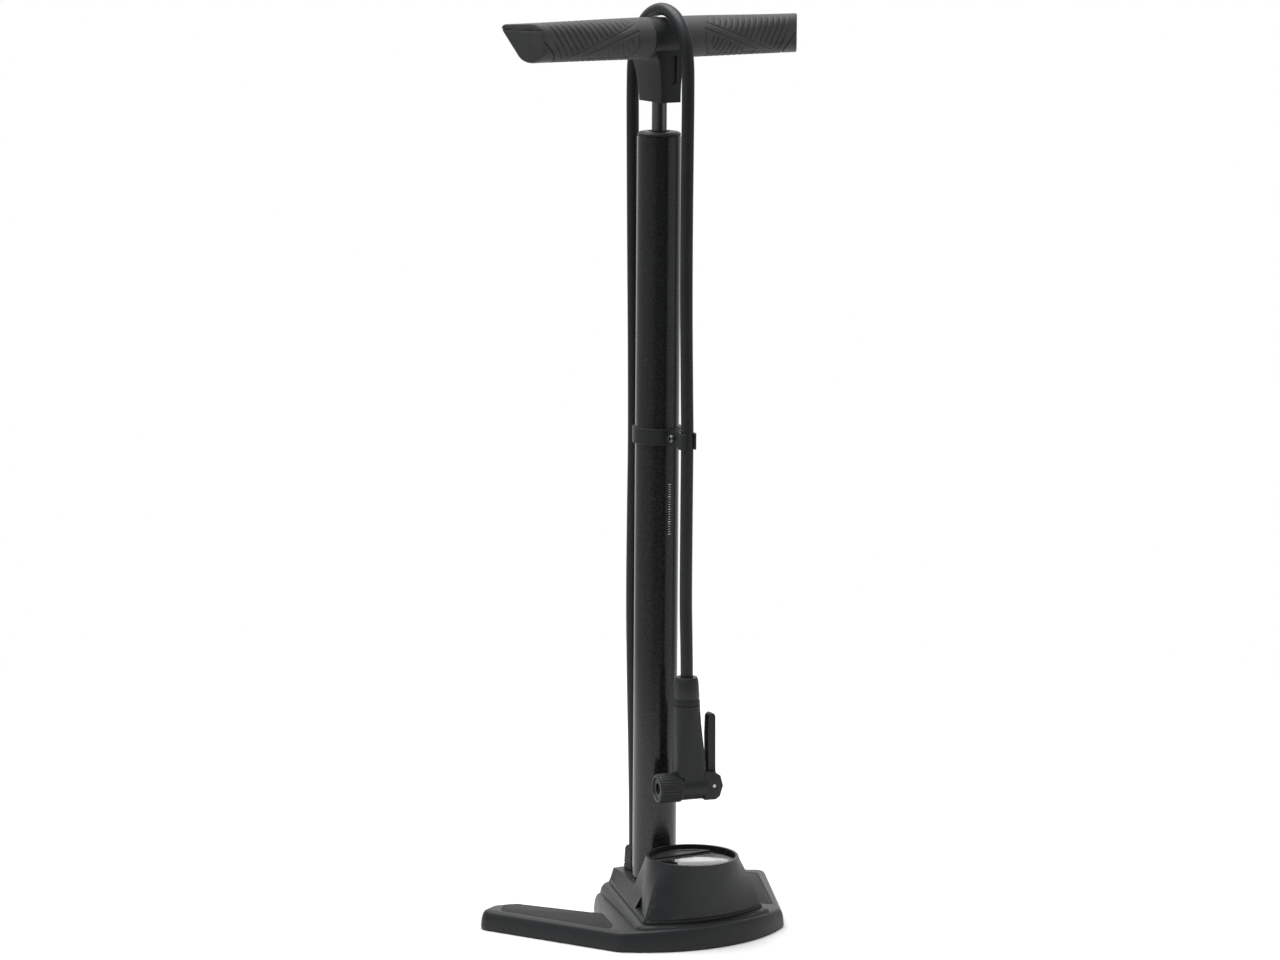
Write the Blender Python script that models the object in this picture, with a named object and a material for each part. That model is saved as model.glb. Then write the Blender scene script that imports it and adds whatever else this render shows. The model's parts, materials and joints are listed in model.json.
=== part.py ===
"""Floor bike pump with a digital gauge in its foot, as separate pieces. Metres, +Z up.

The origin is on the floor under the barrel's axis. -Y is the front, where the gauge is,
and the handle lies along X.
"""

from math import atan2, cos, pi, radians, sin, tan

import bmesh
import bpy
from mathutils import Matrix, Vector

GAP = 0.0003

# Foot and cover
FOOT_LOW = 0.0004
WING_TOP = 0.0158
SEAM_FRONT_Z = 0.0203
SEAM_FRONT_Y = -0.0764
SEAM_RISE = 0.031
COVER_TOP = 0.036
SKIN = 0.0025
TREAD_DEPTH = 0.0015
SOCKET_FLOOR = 0.012
SOCKET_BOSS_R = 0.0208
FOOT_PAD_R = 0.0070
FOOT_PAD_THICK = 0.0008
FOOT_PADS = {"centre": (0.0, 0.0), "right": (0.117, 0.040), "left": (-0.117, 0.040),
             "front_right": (0.060, -0.076), "front_left": (-0.060, -0.076)}
BASE_SCREWS = [(0.038, -0.064), (-0.038, -0.064), (0.0215, -0.0152), (-0.0215, -0.0152)]

# Gauge
GAUGE_Y = -0.057
GAUGE_RIM_R = 0.037
GAUGE_RIM_Z = 0.066
GAUGE_WELL_R = 0.0346
GAUGE_SEAT_Z = 0.0575
POD_SIDES = 40
LCD_X = 0.020
LCD_Y = (-0.069, -0.048)
BUTTON_CHORD_Y = -0.043

# Barrel, rod and piston
BARREL_R = 0.0175
BARREL_BORE = 0.01575
BARREL_TOP = 0.6347
PLUG_TOP = 0.026
ROD_R = 0.006
ROD_TOP = 0.7010
PISTON_LOW = PLUG_TOP + GAP
PISTON_TOP = 0.046
BUMPER_LOW = 0.600
CAP_NECK_LOW = 0.620
CAP_TOP = 0.6383

# Handle, whose tube lies a little in front of the barrel's axis
AXIS_Y = -0.0035
AXIS_Z = 0.7117
HUB_HALF = 0.0146
HUB_R = 0.0165
HUB_LOW = 0.6618
# Sleeve of the hub as (height, half width, reach to the front, reach to the rear)
HUB_LEVELS = [
    (HUB_LOW, 0.0090, 0.0178, 0.0178), (0.6720, 0.0092, 0.0179, 0.0186),
    (0.6840, 0.0100, 0.0181, 0.0212), (0.6925, 0.0114, 0.0184, 0.0230),
    (0.6995, 0.0134, 0.0180, 0.0212), (AXIS_Z, 0.0138, 0.0150, 0.0090),
]
CORE_R = 0.010
CORE_BORE = 0.0085
CORE_HALF = 0.104
GRIP_REAR_END = 0.1290
GRIP_REAR_Y = 0.0120
GRIP_SLANT = 0.655
CAP_THICK = 0.0074
GRIP_ROOT_CIRCLE = (AXIS_Y, 0.0003, 0.0163)
GRIP_END_CIRCLES = [(0.0097, 0.0112, 0.0030), (-0.0090, 0.0068, 0.0085), (-0.0085, -0.0050, 0.0102)]
STEM_R = 0.0080
STEM_INNER = 0.085

# Hose, clip and head
HOSE_R = 0.005
HOSE_EXIT_Y = 0.0295
CLIP_Z = 0.3975
CLIP_HEIGHT = 0.013
CLIP_HOSE_Y = -0.0447
HEAD_Y = -0.0468
HEAD_TURN = radians(-10.5)
CHUCK_Z = 0.1198
MOUTH_R = 0.0046
LEVER_PIVOT = (0.0210, 0.1203)

# Hand-laid route of the hose's centre line in the plane X = 0, from the foot to the head.
HOSE_ROUTE = [
    (0.0295, 0.0380), (0.0295, 0.0560), (0.0302, 0.0950), (0.0320, 0.1420), (0.0346, 0.2000),
    (0.0362, 0.2600), (0.0358, 0.3250), (0.0350, 0.3900), (0.0360, 0.4650), (0.0380, 0.5500),
    (0.0396, 0.6300), (0.0400, 0.6720), (0.0385, 0.6940), (0.0320, 0.7130), (0.0168, 0.7284),
    (-0.0033, 0.7342), (-0.0222, 0.7295), (-0.0358, 0.7155), (-0.0411, 0.6950), (-0.0420, 0.6700),
    (-0.0418, 0.6270), (-0.0415, 0.5680), (-0.0420, 0.5000), (-0.0436, 0.4400), (-0.0447, 0.4050),
    (-0.0447, 0.3900), (-0.0445, 0.3300), (-0.0446, 0.2700), (-0.0460, 0.2350), (-0.0468, 0.2100),
    (-0.0468, 0.2003),
]
HOSE_POINTS = 68
BEND_WEIGHT = 0.12


def clear_scene():
    for obj in list(bpy.data.objects):
        bpy.data.objects.remove(obj)


def material(name, colour, roughness, metallic=0.0):
    made = bpy.data.materials.new(name)
    made.use_nodes = True
    shader = made.node_tree.nodes["Principled BSDF"]
    shader.inputs["Base Color"].default_value = (*colour, 1.0)
    shader.inputs["Roughness"].default_value = roughness
    shader.inputs["Metallic"].default_value = metallic
    return made


def add(name, shape, finish, parent=None, origin=(0.0, 0.0, 0.0)):
    """One named object from a bmesh given in its parent's frame, with its own origin moved."""
    bmesh.ops.translate(shape, verts=shape.verts, vec=-Vector(origin))
    bmesh.ops.recalc_face_normals(shape, faces=shape.faces)
    mesh = bpy.data.meshes.new(name)
    shape.to_mesh(mesh)
    shape.free()
    mesh.shade_smooth()
    mesh.set_sharp_from_angle(angle=radians(35))
    mesh.materials.append(finish)
    obj = bpy.data.objects.new(name, mesh)
    bpy.context.collection.objects.link(obj)
    obj.location = origin
    obj.parent = parent
    return obj


def helper(name, shape, parent=None):
    """A cutter or a piece to be joined: hidden from renders and drawn as wire."""
    obj = add(name, shape, None, parent)
    obj.hide_render = True
    obj.display_type = "WIRE"
    return obj


def boolean(obj, operation, shape, label):
    """Cuts or joins a bmesh, or another helper object, to obj."""
    tool = shape
    if isinstance(shape, bmesh.types.BMesh):
        tool = helper(f"{obj.name}_{label}", shape, obj.parent)
    modifier = obj.modifiers.new(label, "BOOLEAN")
    modifier.operation = operation
    modifier.object = tool


def cut(obj, shape, label):
    boolean(obj, "DIFFERENCE", shape, label)


def join(obj, shape, label):
    boolean(obj, "UNION", shape, label)


def rings_to_shape(rings, closed=False):
    """Skins a list of point rings. A closed list joins its last ring to its first."""
    shape = bmesh.new()
    loops = [[shape.verts.new(point) for point in ring] for ring in rings]
    count = len(loops[0])
    pairs = list(zip(loops, loops[1:]))
    if closed:
        pairs.append((loops[-1], loops[0]))
    else:
        shape.faces.new(loops[0])
        shape.faces.new(loops[-1])
    for low, high in pairs:
        for i in range(count):
            j = (i + 1) % count
            shape.faces.new((low[i], low[j], high[j], high[i]))
    return shape


def turned(profile, sides=32, axis="Z", closed=False):
    """A turned piece. Profile points are (radius, height); a closed profile leaves a bore."""
    turn = {
        "Z": Matrix.Identity(3),
        "X": Matrix.Rotation(radians(90), 3, "Y"),
        "Y": Matrix.Rotation(radians(-90), 3, "X"),
    }[axis]
    angles = [2 * pi * i / sides for i in range(sides)]
    rings = [[turn @ Vector((r * cos(a), r * sin(a), z)) for a in angles] for r, z in profile]
    return rings_to_shape(rings, closed)


def ring(outer, inner, low, high, sides=32, axis="Z"):
    return turned([(outer, low), (outer, high), (inner, high), (inner, low)], sides, axis, True)


def cylinder(radius, low, high, sides=32, axis="Z", centre=(0.0, 0.0, 0.0)):
    shape = turned([(radius, low), (radius, high)], sides, axis)
    bmesh.ops.translate(shape, verts=shape.verts, vec=Vector(centre))
    return shape


def box(low, high):
    rings = [
        [(low[0], low[1], z), (high[0], low[1], z), (high[0], high[1], z), (low[0], high[1], z)]
        for z in (low[2], high[2])
    ]
    return rings_to_shape(rings)


def prism(outline, low, high):
    return rings_to_shape([[(x, y, z) for x, y in outline] for z in (low, high)])


def mirrored(half):
    """A closed list of corners from its half at +X. Corners on X = 0 aren't doubled."""
    return half + [(-x, y, r, n) for x, y, r, n in reversed(half) if x > 0]


def inset_corners(corners, inset):
    """The corners moved in by inset, with their rounding kept parallel."""
    result = []
    count = len(corners)
    for i, (x, y, r, n) in enumerate(corners):
        before = Vector(corners[i - 1][:2])
        here = Vector((x, y))
        after = Vector(corners[(i + 1) % count][:2])
        into = (here - before).normalized()
        out = (after - here).normalized()
        bisector = Vector((-into.y - out.y, into.x + out.x)).normalized()
        across = bisector.dot(Vector((-into.y, into.x)))
        moved = here + bisector * inset / across
        convex = into.x * out.y - into.y * out.x > 0
        new_r = max(r - inset, 0.0006) if convex else r + inset
        result.append((moved.x, moved.y, new_r, n))
    return result


def rounded(corners, inset=0.0):
    """The outline of a polygon that runs anticlockwise, with an arc of n spans at each corner."""
    points = []
    corners = inset_corners(corners, inset)
    count = len(corners)
    for i, (x, y, r, n) in enumerate(corners):
        here = Vector((x, y))
        before = (Vector(corners[i - 1][:2]) - here).normalized()
        after = (Vector(corners[(i + 1) % count][:2]) - here).normalized()
        half = before.angle(after) / 2
        centre = here + (before + after).normalized() * r / sin(half)
        start = here + before * r / tan(half) - centre
        end = here + after * r / tan(half) - centre
        sweep = start.angle_signed(end)
        for step in range(n + 1):
            turn = Matrix.Rotation(-sweep * step / n, 2)
            points.append(tuple(centre + turn @ start))
    return points


def loft(corners, levels, height=lambda y: 0.0):
    """Skins insets of one outline. Levels are (z, inset), and height adds a rise along Y."""
    rings = []
    for z, inset in levels:
        rings.append([(x, y, z + height(y)) for x, y in rounded(corners, inset)])
    return rings_to_shape(rings)


def seam_height(y):
    """How far the seam between foot and cover stands above its height at the front."""
    return SEAM_RISE * (y - SEAM_FRONT_Y)


def smooth_route(route, count):
    """Points on a Catmull-Rom curve through a route of (y, z) pairs, closer where it bends."""
    ends = [2 * Vector(route[0]) - Vector(route[1])]
    ends += [Vector(point) for point in route]
    ends.append(2 * Vector(route[-1]) - Vector(route[-2]))
    fine = []
    for a, b, c, d in zip(ends, ends[1:], ends[2:], ends[3:]):
        for step in range(24):
            t = step / 24
            fine.append(0.5 * (2 * b + t * (c - a) + t * t * (2 * a - 5 * b + 4 * c - d)
                               + t ** 3 * (3 * b - a - 3 * c + d)))
    fine.append(Vector(route[-1]))
    walked = [0.0]
    heading = fine[1] - fine[0]
    for a, b in zip(fine, fine[1:]):
        turn = heading.angle(b - a)
        heading = b - a
        walked.append(walked[-1] + heading.length + BEND_WEIGHT * turn)
    points = []
    at = 0
    for i in range(count):
        target = walked[-1] * i / (count - 1)
        while at < len(fine) - 2 and walked[at + 1] < target:
            at += 1
        share = (target - walked[at]) / (walked[at + 1] - walked[at])
        points.append(fine[at].lerp(fine[at + 1], share))
    return points


# Corners of outlines as (x, y, rounding radius, arc spans), anticlockwise from the front.
def foot_corners():
    return mirrored([
        (0.0, -0.1261, 0.120, 10),
        (0.0780, -0.0728, 0.014, 3),
        (0.1385, 0.0460, 0.010, 3),
        (0.1180, 0.0580, 0.009, 3),
        (0.1010, 0.0550, 0.005, 2),
        (0.0565, -0.0070, 0.006, 2),
        (0.0260, 0.0510, 0.007, 2),
    ])


def cover_corners():
    return mirrored([
        (0.0, -0.1012, 0.115, 10),
        (0.0570, -0.0754, 0.004, 2),
        (0.0165, 0.0445, 0.004, 2),
    ])


def pod_corners():
    return mirrored([
        (0.0, -0.1012, 0.115, 10),
        (0.0570, -0.0754, 0.003, 2),
        (0.0385, -0.0400, 0.004, 2),
        (0.0360, -0.0150, 0.003, 1),
    ])


def tread_corners():
    return [(0.0765, -0.0590, 0.003, 2), (0.1225, 0.0350, 0.004, 2), (0.1120, 0.0480, 0.005, 2),
            (0.1005, 0.0480, 0.003, 2), (0.0575, -0.0140, 0.002, 2), (0.0690, -0.0480, 0.002, 2)]


def flipped(corners):
    return [(-x, y, r, n) for x, y, r, n in reversed(corners)]


def build_foot(plastic):
    foot = add("base_foot", loft(foot_corners(), [
        (FOOT_LOW, 0.0006), (0.0018, 0.0), (0.0085, 0.0006), (0.0125, 0.0018),
        (0.0147, 0.0040), (WING_TOP, 0.0072)]), plastic)
    ledge = loft(cover_corners(), [
        (0.0060, -0.0064), (0.0130, -0.0058), (0.0175, -0.0040), (SEAM_FRONT_Z, -0.0008)],
        seam_height)
    join(foot, ledge, "ledge")
    join(foot, cylinder(SOCKET_BOSS_R, 0.010, 0.0330, 28), "socket_boss")
    join(foot, cylinder(0.0055, 0.010, 0.0300, 16, centre=(0, HOSE_EXIT_Y, 0)), "hose_boss")
    cut(foot, cylinder(BARREL_R + GAP, SOCKET_FLOOR, 0.05, 36), "barrel_socket")
    cut(foot, cylinder(0.0029, 0.0072, 0.040, 14, centre=(0, HOSE_EXIT_Y, 0)), "barb_bore")
    cut(foot, cylinder(0.0024, 0.0070, 0.020, 12), "air_down")
    cut(foot, cylinder(0.0016, 0.0008, HOSE_EXIT_Y - 0.0011, 8, "Y", (0, 0, 0.0096)), "air_back")
    for i, (x, y) in enumerate(BASE_SCREWS):
        cut(foot, cylinder(0.0019, -0.001, 0.04, 8, centre=(x, y, 0)), f"screw_hole_{i}")
        cut(foot, cylinder(0.0037, -0.001, 0.006, 10, centre=(x, y, 0)), f"head_recess_{i}")
    for name, (x, y) in FOOT_PADS.items():
        recess = cylinder(FOOT_PAD_R + GAP, -0.001, FOOT_PAD_THICK + GAP, 16, centre=(x, y, 0))
        cut(foot, recess, f"pad_recess_{name}")
    cut(foot, cylinder(0.0130, -0.001, 0.0085, 28, centre=(0, GAUGE_Y, 0)), "battery_well")
    for side, corners in (("right", tread_corners()), ("left", flipped(tread_corners()))):
        outline = rounded(corners, -GAP)
        cut(foot, prism(outline, WING_TOP - TREAD_DEPTH, 0.03), f"tread_{side}")
    along = Vector((0.42, 0.9075))
    for side in (1, -1):
        for i in range(3):
            centre = Vector((0.0765, -0.0290)) + along * 0.0265 * i
            half = 0.0105
            across = Vector((along.y, -along.x)) * 0.0125
            ends = [centre - across - along * half, centre + across - along * half,
                    centre + across + along * half, centre - across + along * half]
            outline = [(side * p.x, p.y) for p in ends]
            cut(foot, prism(outline[::side], -0.001, 0.0105), f"pocket_{i}_{side + 1}")
    return foot


def pod_ring(z, radius, spread, inset):
    """One level of the gauge pod: a circle at the rim that spreads to the pod's outline."""
    outline = rounded(pod_corners(), inset)
    rear = -BARREL_R - 0.0018 - inset * 0.5
    centre = Vector((0.0, GAUGE_Y))
    points = []
    for i in range(POD_SIDES):
        angle = 2 * pi * (i + 0.5) / POD_SIDES
        direction = Vector((cos(angle), sin(angle)))
        reach = 0.2
        for a, b in zip(outline, outline[1:] + outline[:1]):
            a, b = Vector(a) - centre, Vector(b) - centre
            edge = b - a
            cross = direction.x * edge.y - direction.y * edge.x
            if abs(cross) > 1e-9:
                t = (a.x * edge.y - a.y * edge.x) / cross
                s = (a.x * direction.y - a.y * direction.x) / cross
                if t > 0 and -1e-6 <= s <= 1 + 1e-6:
                    reach = min(reach, t)
        point = centre + direction * (radius + (reach - radius) * spread)
        points.append((point.x, min(point.y, rear), z))
    return points


def pod_shape(inset, rim_radius, levels):
    return rings_to_shape([pod_ring(z, rim_radius, spread, inset) for z, spread in levels])


def rear_shape(inset, low, top):
    """The low block behind the pod, which narrows upwards and towards the rear."""
    rings = []
    for z, corners in ((low, ((0.0449, -0.0430), (0.0222, 0.0260), (0.0157, 0.0434))),
                       (top, ((0.0372, -0.0430), (0.0145, 0.0260), (0.0130, 0.0415)))):
        half = [(x - inset, y + inset if y < 0 else y - inset) for x, y in corners]
        rings.append([(x, y, z) for x, y in half] + [(-x, y, z) for x, y in reversed(half)])
    return rings_to_shape(rings)


def build_cover(plastic):
    seam = SEAM_FRONT_Z + GAP
    cover = add("base_cover", loft(cover_corners(), [(seam, 0.0), (seam + 0.0035, 0.0016)],
                                   seam_height), plastic)
    join(cover, rear_shape(0.0, 0.0247, COVER_TOP), "rear_block")
    join(cover, pod_shape(0.0, GAUGE_RIM_R, [(0.0235, 0.93), (0.044, 0.50), (0.058, 0.16),
                                             (GAUGE_RIM_Z - 0.001, 0.0),
                                             (GAUGE_RIM_Z, -0.02)]), "pod")
    hollow = helper("cover_hollow", loft(cover_corners(), [
        (0.010, SKIN), (seam + 0.0010, SKIN)], seam_height))
    join(hollow, rear_shape(SKIN, 0.0225, COVER_TOP - SKIN), "rear_hollow")
    join(hollow, pod_shape(SKIN, GAUGE_RIM_R - SKIN, [(0.0200, 0.93), (0.044, 0.46),
                                                      (0.055, 0.10)]), "pod_hollow")
    for i, (x, y) in enumerate(BASE_SCREWS):
        cut(hollow, cylinder(0.0038, 0.0, 0.08, 12, centre=(x, y, 0)), f"post_{i}")
    cut(cover, cylinder(GAUGE_WELL_R, GAUGE_SEAT_Z, 0.08, 40, centre=(0, GAUGE_Y, 0)), "gauge_well")
    cut(cover, hollow, "hollow")
    throat = cylinder(GAUGE_WELL_R - 0.003, 0.0530, 0.08, 32, centre=(0, GAUGE_Y, 0))
    cut(cover, throat, "gauge_throat")
    cut(cover, cylinder(SOCKET_BOSS_R + GAP, 0.0, 0.0333, 28), "boss_room")
    cut(cover, cylinder(BARREL_R + GAP, 0.0, 0.05, 36), "barrel_hole")
    cut(cover, cylinder(0.0062, 0.0, 0.05, 16, centre=(0, HOSE_EXIT_Y, 0)), "barb_hole")
    for i, (x, y) in enumerate(BASE_SCREWS):
        cut(cover, cylinder(0.00175, 0.0, 0.0315, 8, centre=(x, y, 0)), f"screw_bore_{i}")
    return cover


def build_base(plastic, rubber, steel, brass):
    build_foot(plastic)
    build_cover(plastic)
    for side, corners in (("right", tread_corners()), ("left", flipped(tread_corners()))):
        low = WING_TOP - TREAD_DEPTH + GAP
        add(f"tread_pad_{side}", loft(corners, [(low, 0.0), (WING_TOP, 0.0),
                                                (WING_TOP + 0.0004, 0.0006)]), rubber)
    for name, (x, y) in FOOT_PADS.items():
        pad = turned([(FOOT_PAD_R - 0.0003, 0.0), (FOOT_PAD_R, 0.0003),
                      (FOOT_PAD_R, FOOT_PAD_THICK)], 16)
        bmesh.ops.translate(pad, verts=pad.verts, vec=(x, y, 0))
        add(f"foot_pad_{name}", pad, rubber)
    for i, (x, y) in enumerate(BASE_SCREWS):
        screw = turned([(0.0031, 0.0021), (0.0031, 0.0040), (0.0014, 0.0056),
                        (0.0014, 0.0305)], 10)
        bmesh.ops.translate(screw, verts=screw.verts, vec=(x, y, 0))
        add(f"base_screw_{i + 1}", screw, steel)
    door = add("battery_door", cylinder(0.0126, FOOT_LOW + GAP, 0.0034, 28,
                                        centre=(0, GAUGE_Y, 0)), plastic)
    cut(door, box((-0.008, GAUGE_Y - 0.0009, 0.0), (0.008, GAUGE_Y + 0.0009, 0.0022)), "coin_slot")
    add("coin_cell", cylinder(0.0100, 0.0037, 0.0069, 28, centre=(0, GAUGE_Y, 0)), steel)
    barb = turned([(0.0026, 0.0200), (0.0026, 0.0303), (0.0045, 0.0303), (0.0045, 0.0345),
                   (0.0034, 0.0350), (0.0034, 0.0376)], 14)
    bmesh.ops.translate(barb, verts=barb.verts, vec=(0, HOSE_EXIT_Y, 0))
    barb_obj = add("hose_barb", barb, brass)
    cut(barb_obj, cylinder(0.0012, 0.01, 0.05, 8, centre=(0, HOSE_EXIT_Y, 0)), "air_bore")


def crescent(chord_y, radius, spans=18):
    """Outline of the part of a circle on the gauge's axis that lies behind a chord."""
    rise = chord_y - GAUGE_Y
    start = atan2(rise, (radius ** 2 - rise ** 2) ** 0.5)
    angles = [start + (pi - 2 * start) * i / spans for i in range(spans + 1)]
    return [(radius * cos(a), GAUGE_Y + radius * sin(a)) for a in angles]


def build_gauge(plastic, rubber, clear, display, board_green, steel):
    def centred(shape):
        bmesh.ops.translate(shape, verts=shape.verts, vec=(0, GAUGE_Y, 0))
        return shape

    well = GAUGE_WELL_R
    low = GAUGE_SEAT_Z + GAP
    add("gauge_gasket", centred(ring(well - GAP, well - 0.0026, low, low + 0.0008, 32)), rubber)
    dial_low = low + 0.0008 + GAP
    dial = add("gauge_dial", centred(cylinder(well - 0.0004, dial_low, dial_low + 0.0014, 36)),
               plastic)
    cut(dial, box((-LCD_X, LCD_Y[0], 0.0), (LCD_X, LCD_Y[1], 0.1)), "lcd_window")
    cut(dial, prism(crescent(BUTTON_CHORD_Y, 0.0290), 0.0, 0.1), "button_slot")
    lens_low = dial_low + 0.0014 + GAP
    lens = add("gauge_lens", centred(turned([
        (well - 0.0004, lens_low), (well - 0.0004, lens_low + 0.0010),
        (well - 0.0010, lens_low + 0.0014)], 40)), clear)
    cut(lens, prism(crescent(BUTTON_CHORD_Y - 0.0006, 0.0310), 0.0, 0.1), "button_slot")
    button_top = lens_low + 0.0030
    button = add("gauge_button", prism(crescent(BUTTON_CHORD_Y + 0.0004, 0.0284), 0.0520, button_top),
                 plastic, origin=(0, GAUGE_Y, button_top))
    join(button, prism(crescent(BUTTON_CHORD_Y, 0.0300), lens_low + 0.0010, button_top), "cap")
    cut(button, box((-0.05, -0.08, 0.0), (0.05, 0.0, 0.0520)), "trim")
    add("gauge_lcd", box((-LCD_X + GAP, LCD_Y[0] + GAP, 0.0535), (LCD_X - GAP, LCD_Y[1] - GAP,
                         dial_low + 0.0008)), display)
    board = add("circuit_board", centred(cylinder(0.0262, 0.0480, 0.0496, 28)), board_green)
    for i, (x, y) in enumerate(BASE_SCREWS):
        cut(board, cylinder(0.0042, 0.0, 0.1, 12, centre=(x, y, 0)), f"post_room_{i}")
    add("button_switch", box((-0.003, -0.0395, 0.0499), (0.003, -0.0335, 0.0510)), steel)
    sensor = turned([(0.0040, 0.0420), (0.0040, 0.0477)], 16)
    bmesh.ops.translate(sensor, verts=sensor.verts, vec=(0.006, GAUGE_Y - 0.008, 0))
    add("pressure_sensor", sensor, steel)


def coil(radius, wire, low, high, turns, sides=5, steps=9):
    """A compression spring on the Z axis, with its wire's ends closed."""
    rings = []
    count = turns * steps
    for i in range(count + 1):
        angle = 2 * pi * i / steps
        centre = Vector((radius * cos(angle), radius * sin(angle), low + (high - low) * i / count))
        outward = Vector((cos(angle), sin(angle), 0))
        rings.append([centre + outward * wire * cos(2 * pi * k / sides)
                      + Vector((0, 0, wire * sin(2 * pi * k / sides))) for k in range(sides)])
    return rings_to_shape(rings)


def build_barrel(anodised, plastic, rubber, steel, bright):
    add("barrel", ring(BARREL_R, BARREL_BORE, SOCKET_FLOOR + GAP, BARREL_TOP, 36), anodised)
    plug = add("check_valve_body", turned([(0.0154, 0.0123), (0.0154, PLUG_TOP)], 32), plastic)
    cut(plug, cylinder(0.0042, 0.0, 0.0230, 16), "valve_room")
    cut(plug, cylinder(0.0015, 0.0, 0.040, 10), "valve_port")
    ball = bmesh.new()
    bmesh.ops.create_uvsphere(ball, u_segments=12, v_segments=8, radius=0.0030)
    bmesh.ops.translate(ball, verts=ball.verts, vec=(0, 0, 0.0201))
    add("check_valve_ball", ball, bright, origin=(0, 0, 0.0201))
    add("check_valve_spring", coil(0.0026, 0.0003, 0.0127, 0.0172, 4), steel)
    cap = add("barrel_cap", turned([
        (0.0153, CAP_NECK_LOW), (0.0153, BARREL_TOP + GAP), (0.0171, BARREL_TOP + GAP),
        (0.0171, BARREL_TOP + 0.0016), (0.0160, CAP_TOP - 0.0008), (0.0125, CAP_TOP)], 36), plastic)
    cut(cap, cylinder(0.0088, 0.60, 0.65, 24), "bush_bore")
    add("rod_bush", ring(0.0085, ROD_R + 0.0002, CAP_NECK_LOW + 0.001, CAP_TOP - 0.0010, 24), bright)
    add("top_bumper", ring(0.0120, ROD_R + 0.0004, BUMPER_LOW, CAP_NECK_LOW - GAP, 24), rubber)


def build_piston(plastic, rubber, steel):
    rod = add("piston_rod", cylinder(ROD_R, PISTON_TOP + GAP, ROD_TOP, 24), steel,
              origin=(0, 0, PISTON_LOW))
    cut(rod, cylinder(0.0032, 0.6870, 0.75, 12), "top_thread")
    cut(rod, cylinder(0.0027, 0.0, 0.0600, 12), "foot_thread")
    piston = add("piston", turned([
        (0.0152, PISTON_LOW), (0.0152, 0.0325), (0.0130, 0.0325), (0.0130, 0.0370),
        (0.0152, 0.0370), (0.0152, 0.0420), (0.0120, PISTON_TOP)], 28), plastic,
        origin=(0, 0, PISTON_LOW))
    cut(piston, cylinder(0.0027, 0.0, 0.1, 12), "bolt_bore")
    cut(piston, cylinder(0.0050, 0.0, 0.0300, 16), "head_room")
    add("piston_seal", turned([(0.0145, 0.0328), (0.0154, 0.0340), (0.0154, 0.0356), (0.0145, 0.0367),
                               (0.0133, 0.0367), (0.0133, 0.0328)], 28, closed=True), rubber,
        origin=(0, 0, PISTON_LOW))
    add("piston_bolt", turned([(0.0046, 0.0268), (0.0046, 0.0297), (0.0024, 0.0297),
                               (0.0024, 0.0580)], 12), steel, origin=(0, 0, PISTON_LOW))


def hull_section(circles, spans=28):
    """Convex outline round circles, each (y, z, radius), as (y, z) pairs."""
    points = []
    for i in range(spans):
        angle = 2 * pi * (i + 0.5) / spans
        normal = Vector((cos(angle), sin(angle)))
        reached = [Vector((y, z)) + normal * radius for y, z, radius in circles]
        points.append(max(reached, key=lambda p: p.dot(normal)))
    return points


def grip_section(share):
    """The grip's section at a share of its length: round at the hub, wing-shaped at the end."""
    ease = share * share * (3 - 2 * share)
    circles = []
    for end_circle in GRIP_END_CIRCLES:
        circles.append([a + (b - a) * ease for a, b in zip(GRIP_ROOT_CIRCLE, end_circle)])
    return hull_section(circles)


def grip_end(y, extra=0.0):
    """X of the slanted outer end of a grip at y, and of surfaces parallel to it."""
    return GRIP_REAR_END - (GRIP_REAR_Y - y) * GRIP_SLANT + extra


def grip_rings(side, shares):
    rings = []
    for share in shares:
        section = grip_section(share)
        start = HUB_HALF + GAP
        rings.append([(side * (start + (grip_end(p.x) - start) * share), p.x, AXIS_Z + p.y)
                      for p in section])
    return rings


def slanted_disc(side, extra, shrink, section):
    middle = sum(section, Vector((0, 0))) / len(section)
    points = [middle + (p - middle) * shrink for p in section]
    return [(side * grip_end(p.x, extra), p.x, AXIS_Z + p.y) for p in points]


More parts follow.
